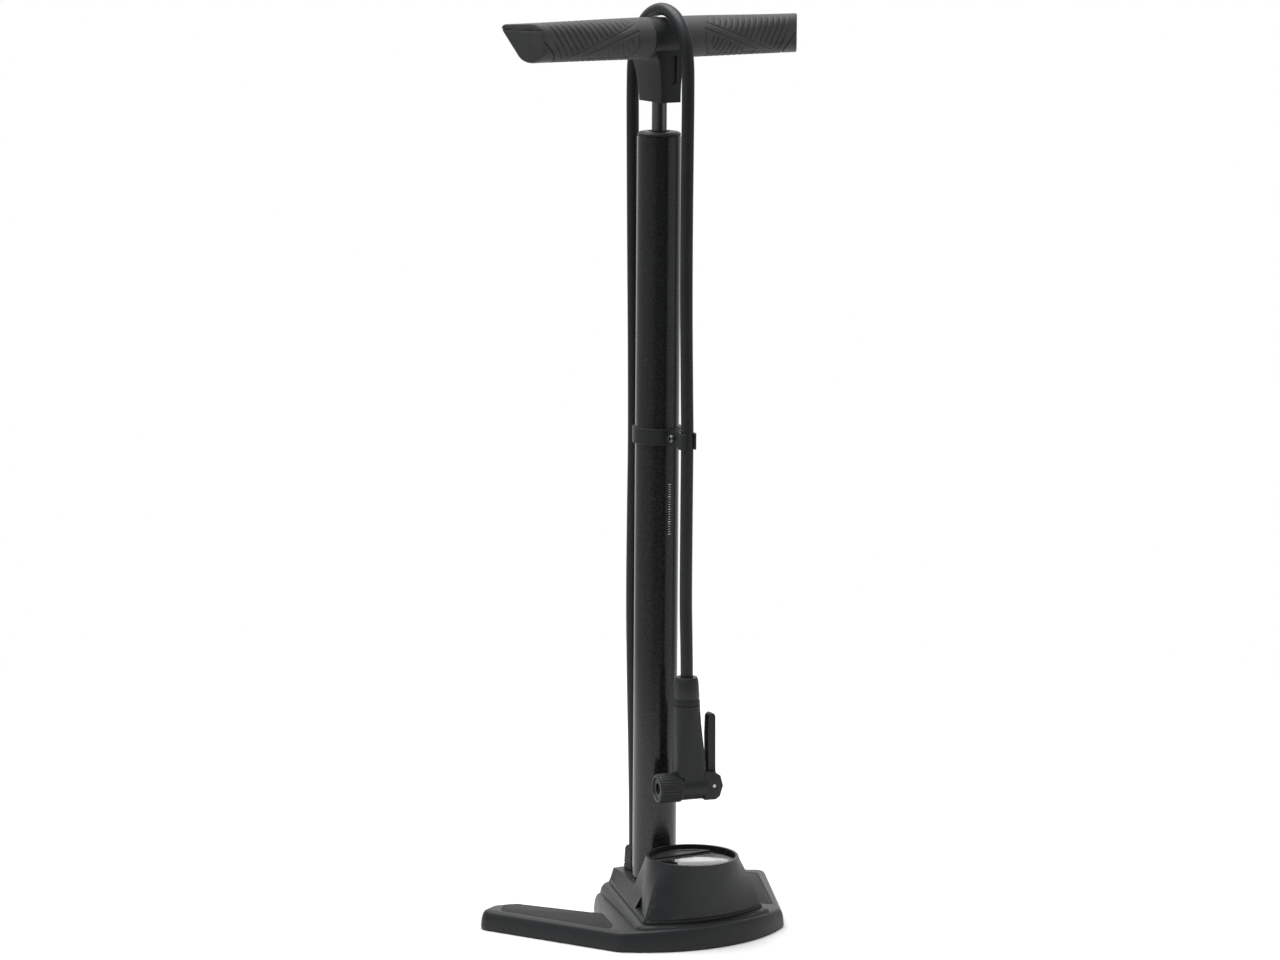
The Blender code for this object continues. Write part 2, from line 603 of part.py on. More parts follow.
def build_handle(plastic, grip_rubber, steel):
    sleeve = []
    for z, x, front, rear in HUB_LEVELS:
        corners = [(-x, -front, 0.002, 2), (x, -front, 0.002, 2), (x, rear, 0.003, 2),
                   (-x, rear, 0.003, 2)]
        sleeve.append([(a, b, z) for a, b in rounded(corners)])
    hub = add("handle_hub", rings_to_shape(sleeve), plastic, origin=(0, 0, HUB_LOW))
    join(hub, cylinder(HUB_R, -HUB_HALF, HUB_HALF, 36, "X", (0, AXIS_Y, AXIS_Z)), "barrel")
    cut(hub, cylinder(CORE_R + GAP, -0.03, 0.03, 28, "X", (0, AXIS_Y, AXIS_Z)), "core_bore")
    cut(hub, cylinder(ROD_R + GAP, 0.65, AXIS_Z, 24), "rod_bore")
    cut(hub, cylinder(0.0054, 0.7225, 0.74, 16), "bolt_recess")
    cut(hub, cylinder(0.0032, 0.70, 0.74, 12), "bolt_hole")
    core = add("handle_core", ring(CORE_R, CORE_BORE, -CORE_HALF, CORE_HALF, 28, "X"), steel)
    core.location = (0, AXIS_Y, AXIS_Z)
    cut(core, cylinder(0.0032, 0.69, 0.74, 12), "bolt_hole")
    bolt = add("handle_bolt", turned([(0.0028, 0.6900), (0.0028, 0.7228), (0.0050, 0.7228),
                                      (0.0050, 0.7262), (0.0044, 0.7268)], 14), steel)
    cut(bolt, cylinder(0.0024, 0.7245, 0.74, 6), "hex_socket")
    for side, name in ((1, "right"), (-1, "left")):
        grip = add(f"grip_{name}", rings_to_shape(grip_rings(side, [i / 6 for i in range(7)])),
                   grip_rubber, origin=(0, AXIS_Y, AXIS_Z))
        cut(grip, cylinder(CORE_R + GAP, -0.15, 0.15, 28, "X", (0, AXIS_Y, AXIS_Z)), "core_bore")
        section = grip_section(1.0)
        cap = add(f"end_cap_{name}", rings_to_shape([
            slanted_disc(side, GAP, 0.99, section),
            slanted_disc(side, CAP_THICK - 0.0020, 1.0, section),
            slanted_disc(side, CAP_THICK - 0.0006, 0.95, section),
            slanted_disc(side, CAP_THICK, 0.80, section)]), plastic, origin=(0, AXIS_Y, AXIS_Z))
        angles = [2 * pi * i / 20 for i in range(20)]
        points = [(AXIS_Y + STEM_R * cos(a), AXIS_Z + STEM_R * sin(a)) for a in angles]
        stem = [[(side * STEM_INNER, y, z) for y, z in points],
                [(side * grip_end(y, 0.002), y, z) for y, z in points]]
        join(cap, rings_to_shape(stem), "stem")


def build_hose(hose_rubber, plastic):
    curve = bpy.data.curves.new("hose", "CURVE")
    curve.dimensions = "3D"
    curve.bevel_depth = HOSE_R
    curve.bevel_resolution = 2
    curve.use_fill_caps = True
    points = smooth_route(HOSE_ROUTE, HOSE_POINTS)
    spline = curve.splines.new("POLY")
    spline.points.add(len(points) - 1)
    for slot, point in zip(spline.points, points):
        slot.co = (0.0, point.x, point.y, 1.0)
    curve.materials.append(hose_rubber)
    bpy.context.collection.objects.link(bpy.data.objects.new("hose", curve))
    middle = HOSE_EXIT_Y
    corners = [(-0.0076, middle - 0.0070, 0.003, 3), (0.0076, middle - 0.0070, 0.003, 3),
               (0.0076, middle + 0.0070, 0.003, 3), (-0.0076, middle + 0.0070, 0.003, 3)]
    boot = add("hose_boot", loft(corners, [(COVER_TOP + GAP, 0.0), (0.0540, 0.0010),
                                           (0.0563, 0.0016)]), plastic)
    cut(boot, cylinder(HOSE_R + GAP, 0.0, 0.1, 20, centre=(0, middle, 0)), "hose_bore")


def arc(centre, radius, start, end, spans):
    step = (end - start) / spans
    return [(centre[0] + radius * cos(start + step * i), centre[1] + radius * sin(start + step * i))
            for i in range(spans + 1)]


def build_clip(plastic, steel):
    """A band round the barrel whose two ears run forward to jaws that hold the hose."""
    inner, outer, jaw_in, jaw_out = BARREL_R + GAP, BARREL_R + 0.0022, HOSE_R + GAP, 0.0072
    slit, ear, mouth = 0.0009, 0.0034, radians(38)
    hose = (0.0, CLIP_HOSE_Y)
    band_out = arc((0, 0), outer, radians(90), atan2(-(outer ** 2 - ear ** 2) ** 0.5, ear), 16)
    jaw_top = atan2((jaw_out ** 2 - ear ** 2) ** 0.5, ear)
    jaw_low = -pi / 2 + mouth
    jaw_outer = arc(hose, jaw_out, jaw_top, jaw_low, 8)
    slit_top = atan2((jaw_in ** 2 - slit ** 2) ** 0.5, slit)
    jaw_inner = arc(hose, jaw_in, jaw_low, slit_top, 8)
    band_in = arc((0, 0), inner, atan2(-(inner ** 2 - slit ** 2) ** 0.5, slit), radians(90), 16)
    half = band_out + jaw_outer + jaw_inner + band_in
    low, high = CLIP_Z - CLIP_HEIGHT / 2, CLIP_Z + CLIP_HEIGHT / 2
    right = prism(half[::-1], low, high)
    clip = add("hose_clip", right, plastic)
    mirror = clip.modifiers.new("halves", "MIRROR")
    mirror.use_mirror_merge = True
    mirror.merge_threshold = 0.00001
    weld_faces = [face for face in clip.data.polygons if abs(face.center.x) < 1e-7]
    shape = bmesh.new()
    shape.from_mesh(clip.data)
    shape.faces.ensure_lookup_table()
    bmesh.ops.delete(shape, geom=[shape.faces[face.index] for face in weld_faces], context="FACES")
    shape.to_mesh(clip.data)
    shape.free()
    cut(clip, cylinder(0.0019, -0.02, 0.02, 14, "X", (0, -0.0285, CLIP_Z)), "screw_hole")
    screw = turned([(0.0028, -0.0062), (0.0033, -0.0052), (0.0033, -0.0037), (0.0015, -0.0037),
                    (0.0015, 0.0066)], 14, "X")
    bmesh.ops.translate(screw, verts=screw.verts, vec=(0, -0.0285, CLIP_Z))
    screw_obj = add("clip_screw", screw, steel)
    cut(screw_obj, cylinder(0.0015, -0.0080, -0.0048, 6, "X", (0, -0.0285, CLIP_Z)), "socket")
    nut = turned([(0.0032, 0.0037), (0.0032, 0.0062), (0.0018, 0.0062), (0.0018, 0.0037)], 6, "X", True)
    bmesh.ops.translate(nut, verts=nut.verts, vec=(0, -0.0285, CLIP_Z))
    add("clip_nut", nut, steel)


def build_head(plastic, rubber, steel, bright):
    """The valve head, in a frame on the hose's axis with its chuck towards -X."""
    frame = bpy.data.objects.new("head_frame", None)
    bpy.context.collection.objects.link(frame)
    frame.location = (0, HEAD_Y, 0)
    frame.rotation_euler.z = HEAD_TURN

    def along(profile, sides=24, closed=False):
        shape = turned(profile, sides, "X", closed)
        bmesh.ops.translate(shape, verts=shape.verts, vec=(0, 0, CHUCK_Z))
        return shape

    def rod(radius, low, high, sides=20):
        return along([(radius, low), (radius, high)], sides)

    collar = add("head_collar", turned([(0.0107, 0.1865), (0.0093, 0.2062), (0.0084, 0.2088),
                                        (HOSE_R + GAP, 0.2088), (HOSE_R + GAP, 0.2000)], 24),
                 plastic, frame)
    cut(collar, cylinder(0.0025, 0.18, 0.21, 12), "air_bore")
    stem = []
    for z, low_x, high_x, half_y in ((0.1862, -0.0107, 0.0107, 0.0107), (0.170, -0.0104, 0.0118, 0.0104),
                                     (0.150, -0.0101, 0.0138, 0.0098), (0.134, -0.0100, 0.0155, 0.0094),
                                     (0.1198, -0.0100, 0.0160, 0.0094)):
        square = (0.1862 - z) / (0.1862 - 0.1198)
        middle, half_x = (low_x + high_x) / 2, (high_x - low_x) / 2
        points = []
        for i in range(24):
            angle = 2 * pi * (i + 0.5) / 24
            power = 1 - 0.42 * square
            across = abs(cos(angle)) ** power * (1 if cos(angle) > 0 else -1)
            deep = abs(sin(angle)) ** power * (1 if sin(angle) > 0 else -1)
            points.append((middle + half_x * across, half_y * deep, z))
        stem.append(points)
    body = add("head_body", rings_to_shape(stem), plastic, frame)
    cut(body, rod(0.0124, -0.0300, -0.0048, 28), "nut_room")
    join(body, along([(0.0104, -0.0052), (0.0107, -0.0040), (0.0107, 0.0150)]), "cross_tube")
    tip = [(0.0130, -0.0104), (0.0225, -0.0104), (0.0258, -0.0080), (0.0284, 0.0005),
           (0.0262, 0.0085), (0.0225, 0.0112), (0.0130, 0.0128)]
    cheeks = rings_to_shape([[(x, y, CHUCK_Z + z) for x, z in tip] for y in (-0.0086, 0.0086)])
    join(body, cheeks, "lever_housing")
    join(body, rod(0.0082, -0.0160, -0.0030), "spigot")
    cut(body, rod(0.0066, -0.0200, 0.0125), "chamber")
    cut(body, rod(0.0023, 0.0, 0.0200, 12), "plunger_hole")
    cut(body, box((0.0150, -0.0044, 0.1128), (0.0400, 0.0044, 0.1420)), "lever_slot")
    cut(body, cylinder(0.0024, 0.1200, 0.20, 12), "air_bore")
    cut(body, cylinder(0.0018, -0.02, 0.02, 14, "Y", (LEVER_PIVOT[0], 0, LEVER_PIVOT[1])), "pin_hole")

    nut = add("chuck_nut", along([
        (0.0104, -0.0252), (0.0117, -0.0242), (0.0119, -0.0060), (0.0112, -0.0055),
        (0.0085, -0.0055), (0.0085, -0.0166), (0.0064, -0.0166), (0.0064, -0.0225),
        (MOUTH_R, -0.0225), (MOUTH_R, -0.0252)], 30, closed=True), plastic, frame,
        (0, 0, CHUCK_Z))
    for i in range(10):
        angle = 2 * pi * (i + 0.5) / 10
        groove = along([(0.0008, -0.0245), (0.0008, -0.0050)], 5)
        bmesh.ops.translate(groove, verts=groove.verts,
                            vec=(0, 0.0121 * cos(angle), 0.0121 * sin(angle)))
        cut(nut, groove, f"groove_{i}")
    add("chuck_gasket", along([(0.0061, -0.0221), (0.0061, -0.0120), (0.0038, -0.0120),
                               (0.0038, -0.0221)], 20, closed=True), rubber, frame)
    add("head_plunger", along([(0.0010, -0.0170), (0.0010, -0.0087), (0.0062, -0.0087),
                               (0.0062, -0.0040), (0.0019, -0.0030), (0.0019, 0.0152)], 16), bright,
        frame, (0, 0, CHUCK_Z))
    pivot_x, pivot_z = LEVER_PIVOT
    outline = arc((pivot_x, pivot_z), 0.0050, pi, 2 * pi, 8)
    outline += [(pivot_x + 0.0030, 0.1330), (pivot_x + 0.0026, 0.1740)]
    outline += arc((pivot_x - 0.0008, 0.1752), 0.0034, 0.0, pi, 6)
    outline += [(pivot_x - 0.0046, 0.1600), (pivot_x - 0.0042, 0.1400), (pivot_x - 0.0046, 0.1290)]
    blade = rings_to_shape([[(x, y, z) for x, z in outline] for y in (-0.0040, 0.0040)])
    lever = add("head_lever", blade, plastic, frame, (pivot_x, 0, pivot_z))
    cut(lever, cylinder(0.0018, -0.02, 0.02, 14, "Y", (pivot_x, 0, pivot_z)), "pin_bore")
    add("lever_pin", cylinder(0.0015, -0.0089, 0.0089, 14, "Y", (pivot_x, 0, pivot_z)), bright, frame)


def main():
    clear_scene()
    plastic = material("moulded_plastic", (0.030, 0.034, 0.037), 0.50)
    rubber = material("black_rubber", (0.018, 0.019, 0.020), 0.75)
    grip_rubber = material("grip_rubber", (0.045, 0.046, 0.048), 0.70)
    hose_rubber = material("hose_rubber", (0.028, 0.032, 0.035), 0.45)
    anodised = material("black_anodised", (0.012, 0.013, 0.014), 0.28, 0.6)
    steel = material("dark_steel", (0.20, 0.20, 0.21), 0.35, 1.0)
    bright = material("bright_steel", (0.70, 0.70, 0.70), 0.20, 1.0)
    brass = material("brass", (0.62, 0.48, 0.22), 0.30, 1.0)
    clear = material("clear_lens", (0.06, 0.07, 0.08), 0.05)
    display = material("lcd_glass", (0.34, 0.37, 0.34), 0.25)
    board_green = material("circuit_board", (0.02, 0.12, 0.05), 0.50)
    build_base(plastic, rubber, steel, brass)
    build_gauge(plastic, rubber, clear, display, board_green, steel)
    build_barrel(anodised, plastic, rubber, steel, bright)
    build_piston(plastic, rubber, bright)
    build_handle(plastic, grip_rubber, steel)
    build_hose(hose_rubber, plastic)
    build_clip(plastic, steel)
    build_head(plastic, rubber, steel, bright)


main()
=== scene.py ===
"""Floor bike pump with a digital gauge in its foot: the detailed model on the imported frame.

Metres, +Z up. The origin is on the floor under the barrel's axis, -Y is the front.
"""

import json
from math import atan2, cos, pi, radians, sin, tan

import bmesh
import bpy
from mathutils import Matrix, Vector

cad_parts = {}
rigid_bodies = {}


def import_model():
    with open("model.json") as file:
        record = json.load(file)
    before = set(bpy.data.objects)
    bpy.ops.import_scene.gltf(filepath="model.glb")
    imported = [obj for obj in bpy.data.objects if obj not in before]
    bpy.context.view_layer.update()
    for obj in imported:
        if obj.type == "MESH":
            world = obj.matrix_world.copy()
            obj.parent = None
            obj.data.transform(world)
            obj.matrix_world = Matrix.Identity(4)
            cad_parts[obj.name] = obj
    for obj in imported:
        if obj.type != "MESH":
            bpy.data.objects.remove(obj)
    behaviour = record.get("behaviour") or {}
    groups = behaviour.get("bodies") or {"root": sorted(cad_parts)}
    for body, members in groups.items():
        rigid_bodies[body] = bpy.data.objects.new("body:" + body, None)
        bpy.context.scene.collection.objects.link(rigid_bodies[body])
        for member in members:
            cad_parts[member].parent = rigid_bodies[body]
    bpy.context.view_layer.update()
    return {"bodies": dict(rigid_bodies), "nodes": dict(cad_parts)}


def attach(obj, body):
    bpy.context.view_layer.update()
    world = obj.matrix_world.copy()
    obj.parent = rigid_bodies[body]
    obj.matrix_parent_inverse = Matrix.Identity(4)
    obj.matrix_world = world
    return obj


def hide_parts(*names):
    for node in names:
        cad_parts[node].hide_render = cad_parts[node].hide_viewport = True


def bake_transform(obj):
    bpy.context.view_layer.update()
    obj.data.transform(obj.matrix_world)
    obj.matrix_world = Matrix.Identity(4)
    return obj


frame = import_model()

GAP = 0.0003
FINE = 4
MERGE = 0.00001

# Foot and cover
FOOT_LOW = 0.0004
WING_TOP = 0.0158
SEAM_FRONT_Z = 0.0203
SEAM_FRONT_Y = -0.0764
SEAM_RISE = 0.031
RIM_START_Y = -0.0680
RIM_RISE = 0.11
RIM_LOW, RIM_FULL = 0.0085, 0.0145
RIM_CLEAR = 0.0004
COVER_TOP = 0.036
SKIN = 0.0025
TREAD_DEPTH = 0.0015
SOCKET_FLOOR = 0.012
SOCKET_BOSS_R = 0.0208
FOOT_PAD_R = 0.0070
FOOT_PAD_THICK = 0.0008
FOOT_PADS = [(0.0, 0.0), (0.117, 0.040), (-0.117, 0.040), (0.060, -0.076), (-0.060, -0.076)]
BASE_SCREWS = [(0.038, -0.064), (-0.038, -0.064), (0.0215, -0.0152), (-0.0215, -0.0152)]
SCREW_HOLE_R = 0.0019
SCREW_HEAD_R = 0.0037
CELL_WELL_R, CELL_WELL_TOP = 0.0130, 0.0085
WING_RUN = (0.42, 0.9075)
POCKETS = 3
POCKET_START = (0.0765, -0.0290)
POCKET_PITCH = 0.0265
POCKET_HALF_WIDTH, POCKET_HALF_LENGTH = 0.0125, 0.0105
POCKET_TOP = 0.0105
BELOW = -0.001

# Gauge
GAUGE_Y = -0.057
GAUGE_RIM_R = 0.037
GAUGE_RIM_Z = 0.066
GAUGE_WELL_R = 0.0346
GAUGE_SEAT_Z = 0.0575
POD_SIDES = 160
LCD_X = 0.020
LCD_Y = (-0.069, -0.048)
BUTTON_CHORD_Y = -0.043

# Barrel, rod and handle
BARREL_R = 0.0175
BARREL_BORE = 0.01575
BARREL_TOP = 0.6347
ROD_R = 0.006
ROD_TOP = 0.7010
ROD_LOW = 0.0463
CAP_NECK_LOW = 0.620
CAP_TOP = 0.6383
SCALE_TICKS = 21
SCALE_LOW, SCALE_STEP = 0.3190, 0.0020
SCALE_LONG, SCALE_SHORT = 0.075, 0.042
SCALE_ANGLE = radians(-32 - 90 + 35.4)
TICK_HALF = 0.00028
TICK_SPANS = 6
INK = 0.00003
AXIS_Y = -0.0035
AXIS_Z = 0.7117
HUB_HALF = 0.0146
HUB_R = 0.0165
HUB_LOW = 0.6618
HUB_LEVELS = [
    (HUB_LOW, 0.0090, 0.0178, 0.0178), (0.6720, 0.0092, 0.0179, 0.0186),
    (0.6840, 0.0100, 0.0181, 0.0212), (0.6925, 0.0114, 0.0184, 0.0230),
    (0.6995, 0.0134, 0.0180, 0.0212), (AXIS_Z, 0.0138, 0.0150, 0.0090),
]
CORE_R = 0.010
GRIP_REAR_END = 0.1290
GRIP_REAR_Y = 0.0120
GRIP_SLANT = 0.655
CAP_THICK = 0.0074
GRIP_ROOT_CIRCLE = (AXIS_Y, 0.0003, 0.0163)
GRIP_END_CIRCLES = [(0.0097, 0.0112, 0.0030), (-0.0090, 0.0068, 0.0085), (-0.0085, -0.0050, 0.0102)]

# Hose, clip and head
HOSE_R = 0.005
HOSE_EXIT_Y = 0.0295
HOSE_SIDES = 28
HOSE_SPACING = 0.004
ROUTE_STEPS = 24
CLIP_Z = 0.3975
CLIP_HEIGHT = 0.013
CLIP_HOSE_Y = -0.0447
CLIP_SCREW_Y = -0.0285
HEAD_Y = -0.0468
HEAD_TURN = radians(-10.5)
CHUCK_Z = 0.1198
STEM_TOP = 0.1862
NUT_RIBS = 30
MOUTH_R = 0.0046
LEVER_PIVOT = (0.0210, 0.1203)
HOSE_ROUTE = [
    (0.0295, 0.0380), (0.0295, 0.0560), (0.0302, 0.0950), (0.0320, 0.1420), (0.0346, 0.2000),
    (0.0362, 0.2600), (0.0358, 0.3250), (0.0350, 0.3900), (0.0360, 0.4650), (0.0380, 0.5500),
    (0.0396, 0.6300), (0.0400, 0.6720), (0.0385, 0.6940), (0.0320, 0.7130), (0.0168, 0.7284),
    (-0.0033, 0.7342), (-0.0222, 0.7295), (-0.0358, 0.7155), (-0.0411, 0.6950), (-0.0420, 0.6700),
    (-0.0418, 0.6270), (-0.0415, 0.5680), (-0.0420, 0.5000), (-0.0436, 0.4400), (-0.0447, 0.4050),
    (-0.0447, 0.3900), (-0.0445, 0.3300), (-0.0446, 0.2700), (-0.0460, 0.2350), (-0.0468, 0.2100),
    (-0.0468, 0.2003),
]

# Camera: stands to the left of the front, about 15 degrees above the foot
CAMERA_AZIMUTH = radians(-32)
CAMERA_DISTANCE = 3.83
CAMERA_HEIGHT = 1.0
CAMERA_ROLL = radians(0.366)
CAMERA_LENS = 137.3
AIM_HEIGHT = 0.36
AIM_SIDE = -0.0134


def linked(name, data):
    """A new object in the scene."""
    obj = bpy.data.objects.new(name, data)
    bpy.context.scene.collection.objects.link(obj)
    return obj


def mesh_of(name, shape):
    """Turns a bmesh into a mesh and frees it."""
    mesh = bpy.data.meshes.new(name)
    shape.to_mesh(mesh)
    shape.free()
    return mesh


def place_camera():
    toward = Vector((sin(CAMERA_AZIMUTH), -cos(CAMERA_AZIMUTH), 0))
    side = Vector((cos(CAMERA_AZIMUTH), sin(CAMERA_AZIMUTH), 0))
    eye = toward * CAMERA_DISTANCE + Vector((0, 0, CAMERA_HEIGHT))
    aim = Vector((0, 0, AIM_HEIGHT)) + side * AIM_SIDE
    ahead = (aim - eye).normalized()
    right = ahead.cross(Vector((0, 0, 1))).normalized()
    up = right.cross(ahead)
    rolled_right = cos(CAMERA_ROLL) * right + sin(CAMERA_ROLL) * up
    rolled_up = cos(CAMERA_ROLL) * up - sin(CAMERA_ROLL) * right
    place = Matrix((rolled_right, rolled_up, -ahead)).transposed().to_4x4()
    place.translation = eye
    lens = bpy.data.cameras.new("camera")
    lens.lens = CAMERA_LENS
    lens.sensor_width = 36.0
    lens.clip_start = 0.05
    lens.clip_end = 60.0
    camera = linked("camera", lens)
    camera.matrix_world = place
    bpy.context.scene.camera = camera


place_camera()


# ---------------------------------------------------------------- materials
class Nodes:
    """Adds shader nodes to a tree and links them."""

    def __init__(self, tree):
        self.tree = tree

    def add(self, kind, inputs=(), **settings):
        node = self.tree.nodes.new("ShaderNode" + kind)
        for key, value in settings.items():
            setattr(node, key, value)
        self.feed(node, inputs)
        return node

    def feed(self, node, inputs):
        for key, value in dict(inputs).items():
            if isinstance(value, bpy.types.NodeSocket):
                self.tree.links.new(value, node.inputs[key])
            else:
                node.inputs[key].default_value = value

    def math(self, operation, a, b=0.0, clamp=False):
        return self.add("Math", {0: a, 1: b}, operation=operation, use_clamp=clamp).outputs[0]

    def place(self):
        return self.add("TexCoord").outputs["Object"]

    def noise(self, scale, detail=2.0, roughness=0.5, stretch=None):
        vector = self.place()
        if stretch:
            vector = self.add("Mapping", {"Vector": vector, "Scale": stretch}).outputs[0]
        return self.add("TexNoise", {"Vector": vector, "Scale": scale, "Detail": detail,
                                     "Roughness": roughness}).outputs["Fac"]

    def span(self, value, low, high, start=0.3, end=0.7):
        return self.add("MapRange", {"Value": value, "From Min": start, "From Max": end,
                                     "To Min": low, "To Max": high}).outputs[0]

    def patches(self, scale, detail=2.0, roughness=0.5):
        """Noise spread over the whole of 0 to 1."""
        return self.span(self.noise(scale, detail, roughness), 0.0, 1.0)

    def mix(self, share, a, b):
        return self.add("Mix", {0: share, 6: a, 7: b}, data_type="RGBA").outputs[2]

    def bump(self, height, depth, normal=None):
        inputs = {"Height": height, "Distance": depth, "Strength": 1.0}
        if normal is not None:
            inputs["Normal"] = normal
        return self.add("Bump", inputs).outputs[0]


class Look(Nodes):
    """A material, whose shader dress() connects."""

    def __init__(self, name):
        self.material = bpy.data.materials.new(name)
        self.material.use_nodes = True
        super().__init__(self.material.node_tree)

    def dress(self, inputs):
        self.feed(self.tree.nodes["Principled BSDF"], inputs)
        return self.material


def shade(colour, factor):
    return tuple(min(1.0, c * factor) for c in colour) + (1.0,)


def surface(name, colour, roughness, metallic=0.0, grain=2600.0, grain_depth=0.00001,
            patch=70.0, variation=0.12, wear=0.5, specular=0.5, stretch=None, rough_swing=0.06):
    """Colour that drifts in patches, a fine grain in bump and roughness, and rubbed edges."""
    n = Look(name + "_look")
    drift = n.patches(patch, 3.0, 0.6)
    base = n.mix(drift, shade(colour, 1 - variation), shade(colour, 1 + variation))
    rubbed = n.span(n.add("NewGeometry").outputs["Pointiness"], 0.0, wear, 0.52, 0.60)
    scuffs = n.span(n.noise(420.0, 4.0, 0.7), 0.0, 1.0, 0.45, 0.75)
    rubbed = n.math("MULTIPLY", rubbed, scuffs, True)
    lighter = shade([0.6 * c + 0.05 for c in colour], 1.8)
    fine = n.noise(grain, 2.0, 0.6, stretch)
    soft = n.noise(grain / 6, 2.0, 0.5, stretch)
    grains = n.math("ADD", n.math("MULTIPLY", fine, 0.5), n.math("MULTIPLY", soft, 0.5))
    return n.dress({
        "Base Color": n.mix(rubbed, base, lighter), "Metallic": metallic,
        "Roughness": n.span(grains, roughness - rough_swing, roughness + rough_swing),
        "Normal": n.bump(soft, grain_depth * 2.5, n.bump(fine, grain_depth)),
        "Specular IOR Level": specular})


def stippled(name, colour, roughness, cell, depth=0.00002):
    """Rubber with a moulded stipple of small rounded cells."""
    n = Look(name + "_look")
    cells = n.add("TexVoronoi", {"Vector": n.place(), "Scale": cell, "Smoothness": 0.6},
                  feature="SMOOTH_F1")
    height = n.span(cells.outputs["Distance"], 1.0, 0.0, 0.0, 0.6)
    base = n.mix(n.patches(55.0, 3.0, 0.6), shade(colour, 0.88), shade(colour, 1.12))
    dusty = n.math("MULTIPLY", n.span(n.noise(900.0, 3.0, 0.7), 0.0, 0.35, 0.5, 0.8), height)
    return n.dress({
        "Base Color": n.mix(dusty, base, shade(colour, 1.7)),
        "Roughness": n.span(height, roughness + 0.08, roughness - 0.06, 0.0, 1.0),
        "Normal": n.bump(n.noise(6000.0), depth * 0.3, n.bump(height, depth)),
        "Specular IOR Level": 0.35, "Sheen Weight": 0.03, "Sheen Roughness": 0.5})


def clear_window(name):
    """Clear moulded plastic with a trace of haze and fine rubbing marks."""
    n = Look(name)
    marks = n.noise(3000.0, 4.0, 0.7, (0.05, 1.0, 1.0))
    return n.dress({
        "Base Color": n.mix(n.patches(90.0), (0.93, 0.96, 0.97, 1), (0.97, 0.98, 0.98, 1)),
        "Roughness": n.span(marks, 0.01, 0.06, 0.5, 0.8), "Normal": n.bump(marks, 0.000001),
        "Transmission Weight": 1.0, "IOR": 1.49})


def display_glass(name):
    """Unlit display: grey green glass with a faint lattice of cells under it."""
    n = Look(name)
    rows, columns = (n.add("TexWave", {"Vector": n.place(), "Scale": 900.0, "Distortion": 0.0},
                           bands_direction=way).outputs["Fac"] for way in "XY")
    lattice = n.math("MULTIPLY", rows, columns)
    tone = n.mix(n.patches(80.0), (0.016, 0.019, 0.018, 1), (0.024, 0.028, 0.027, 1))
    return n.dress({
        "Base Color": n.mix(n.math("MULTIPLY", lattice, 0.3), tone, (0.05, 0.06, 0.055, 1)),
        "Roughness": n.span(n.noise(700.0), 0.10, 0.20), "Normal": n.bump(lattice, 0.000001)})


def green_board(name):
    """Solder mask with copper tracks under it and bright pads."""
    n = Look(name)
    tracks = n.add("TexBrick", {
        "Vector": n.place(), "Scale": 420.0, "Mortar Size": 0.025, "Color1": (0.0, 0.0, 0.0, 1),
        "Color2": (0.1, 0.1, 0.1, 1), "Mortar": (1, 1, 1, 1)}).outputs["Color"]
    pads = n.add("TexVoronoi", {"Vector": n.place(), "Scale": 330.0}).outputs["Distance"]
    pad = n.span(pads, 1.0, 0.0, 0.10, 0.13)
    mask = n.mix(tracks, (0.010, 0.075, 0.030, 1), (0.020, 0.130, 0.050, 1))
    return n.dress({
        "Base Color": n.mix(pad, mask, (0.65, 0.62, 0.52, 1)), "Metallic": pad,
        "Roughness": n.span(n.noise(500.0), 0.30, 0.45), "Normal": n.bump(tracks, 0.00003)})


LOOKS = {
    "moulded_plastic": surface("moulded_plastic", (0.0145, 0.0158, 0.0170), 0.46, grain=2400,
                               grain_depth=0.000008, specular=0.32),
    "black_rubber": stippled("black_rubber", (0.020, 0.0205, 0.021), 0.72, 1500),
    "grip_rubber": stippled("grip_rubber", (0.062, 0.0625, 0.0640), 0.66, 1700),
    "hose_rubber": surface("hose_rubber", (0.017, 0.019, 0.021), 0.40, grain=1800,
                           grain_depth=0.000003, patch=40, stretch=(1, 1, 0.25), specular=0.28),
    "black_anodised": surface("black_anodised", (0.008, 0.0088, 0.0095), 0.22, grain=3200,
                              grain_depth=0.00000006, patch=30, rough_swing=0.03),
    "dark_steel": surface("dark_steel", (0.17, 0.17, 0.175), 0.34, 1.0, 3000, 0.000004, patch=120),
    "bright_steel": surface("bright_steel", (0.50, 0.50, 0.51), 0.22, 1.0, 2500, 0.000002,
                            patch=60, stretch=(1, 1, 0.02)),
    "brass": surface("brass", (0.60, 0.44, 0.18), 0.30, 1.0, 2500, 0.000004),
    "clear_lens": clear_window("clear_lens_look"),
    "lcd_glass": display_glass("lcd_glass_look"),
    "circuit_board": green_board("circuit_board_look"),
}
# The end caps' plastic: a lighter copy of the base's moulded plastic, painted light for the
# brighter light on the caps.
LIT_CAP_PLASTIC = surface("cap_plastic", (0.050, 0.0515, 0.053), 0.48, grain=2400,
                      grain_depth=0.000006, specular=0.35)
# The piston rod's steel: a darker copy of bright_steel, painted shade for the dark reflections on
# the polished rod.
SHADED_ROD_STEEL = surface("shaded_rod_steel", (0.13, 0.13, 0.135), 0.24, 1.0, 2500, 0.0000005, patch=60,
                    stretch=(1, 1, 0.02))
PRINT = surface("white_print", (0.62, 0.63, 0.63), 0.55, 0.0, 3500, 0.000004, variation=0.08)
DIAL_PRINT = surface("silver_print", (0.45, 0.46, 0.47), 0.35, 0.6, 3500, 0.000002,
                     variation=0.10)
DIAL_FACE = surface("dial_face", (0.012, 0.0125, 0.013), 0.40, 0.0, 3000, 0.000004,
                    variation=0.15)

BODY_OF_NODE = {}
for body_name, empty in frame["bodies"].items():
    for node_name, node in frame["nodes"].items():
        if node.parent == empty:
            BODY_OF_NODE[node_name] = body_name


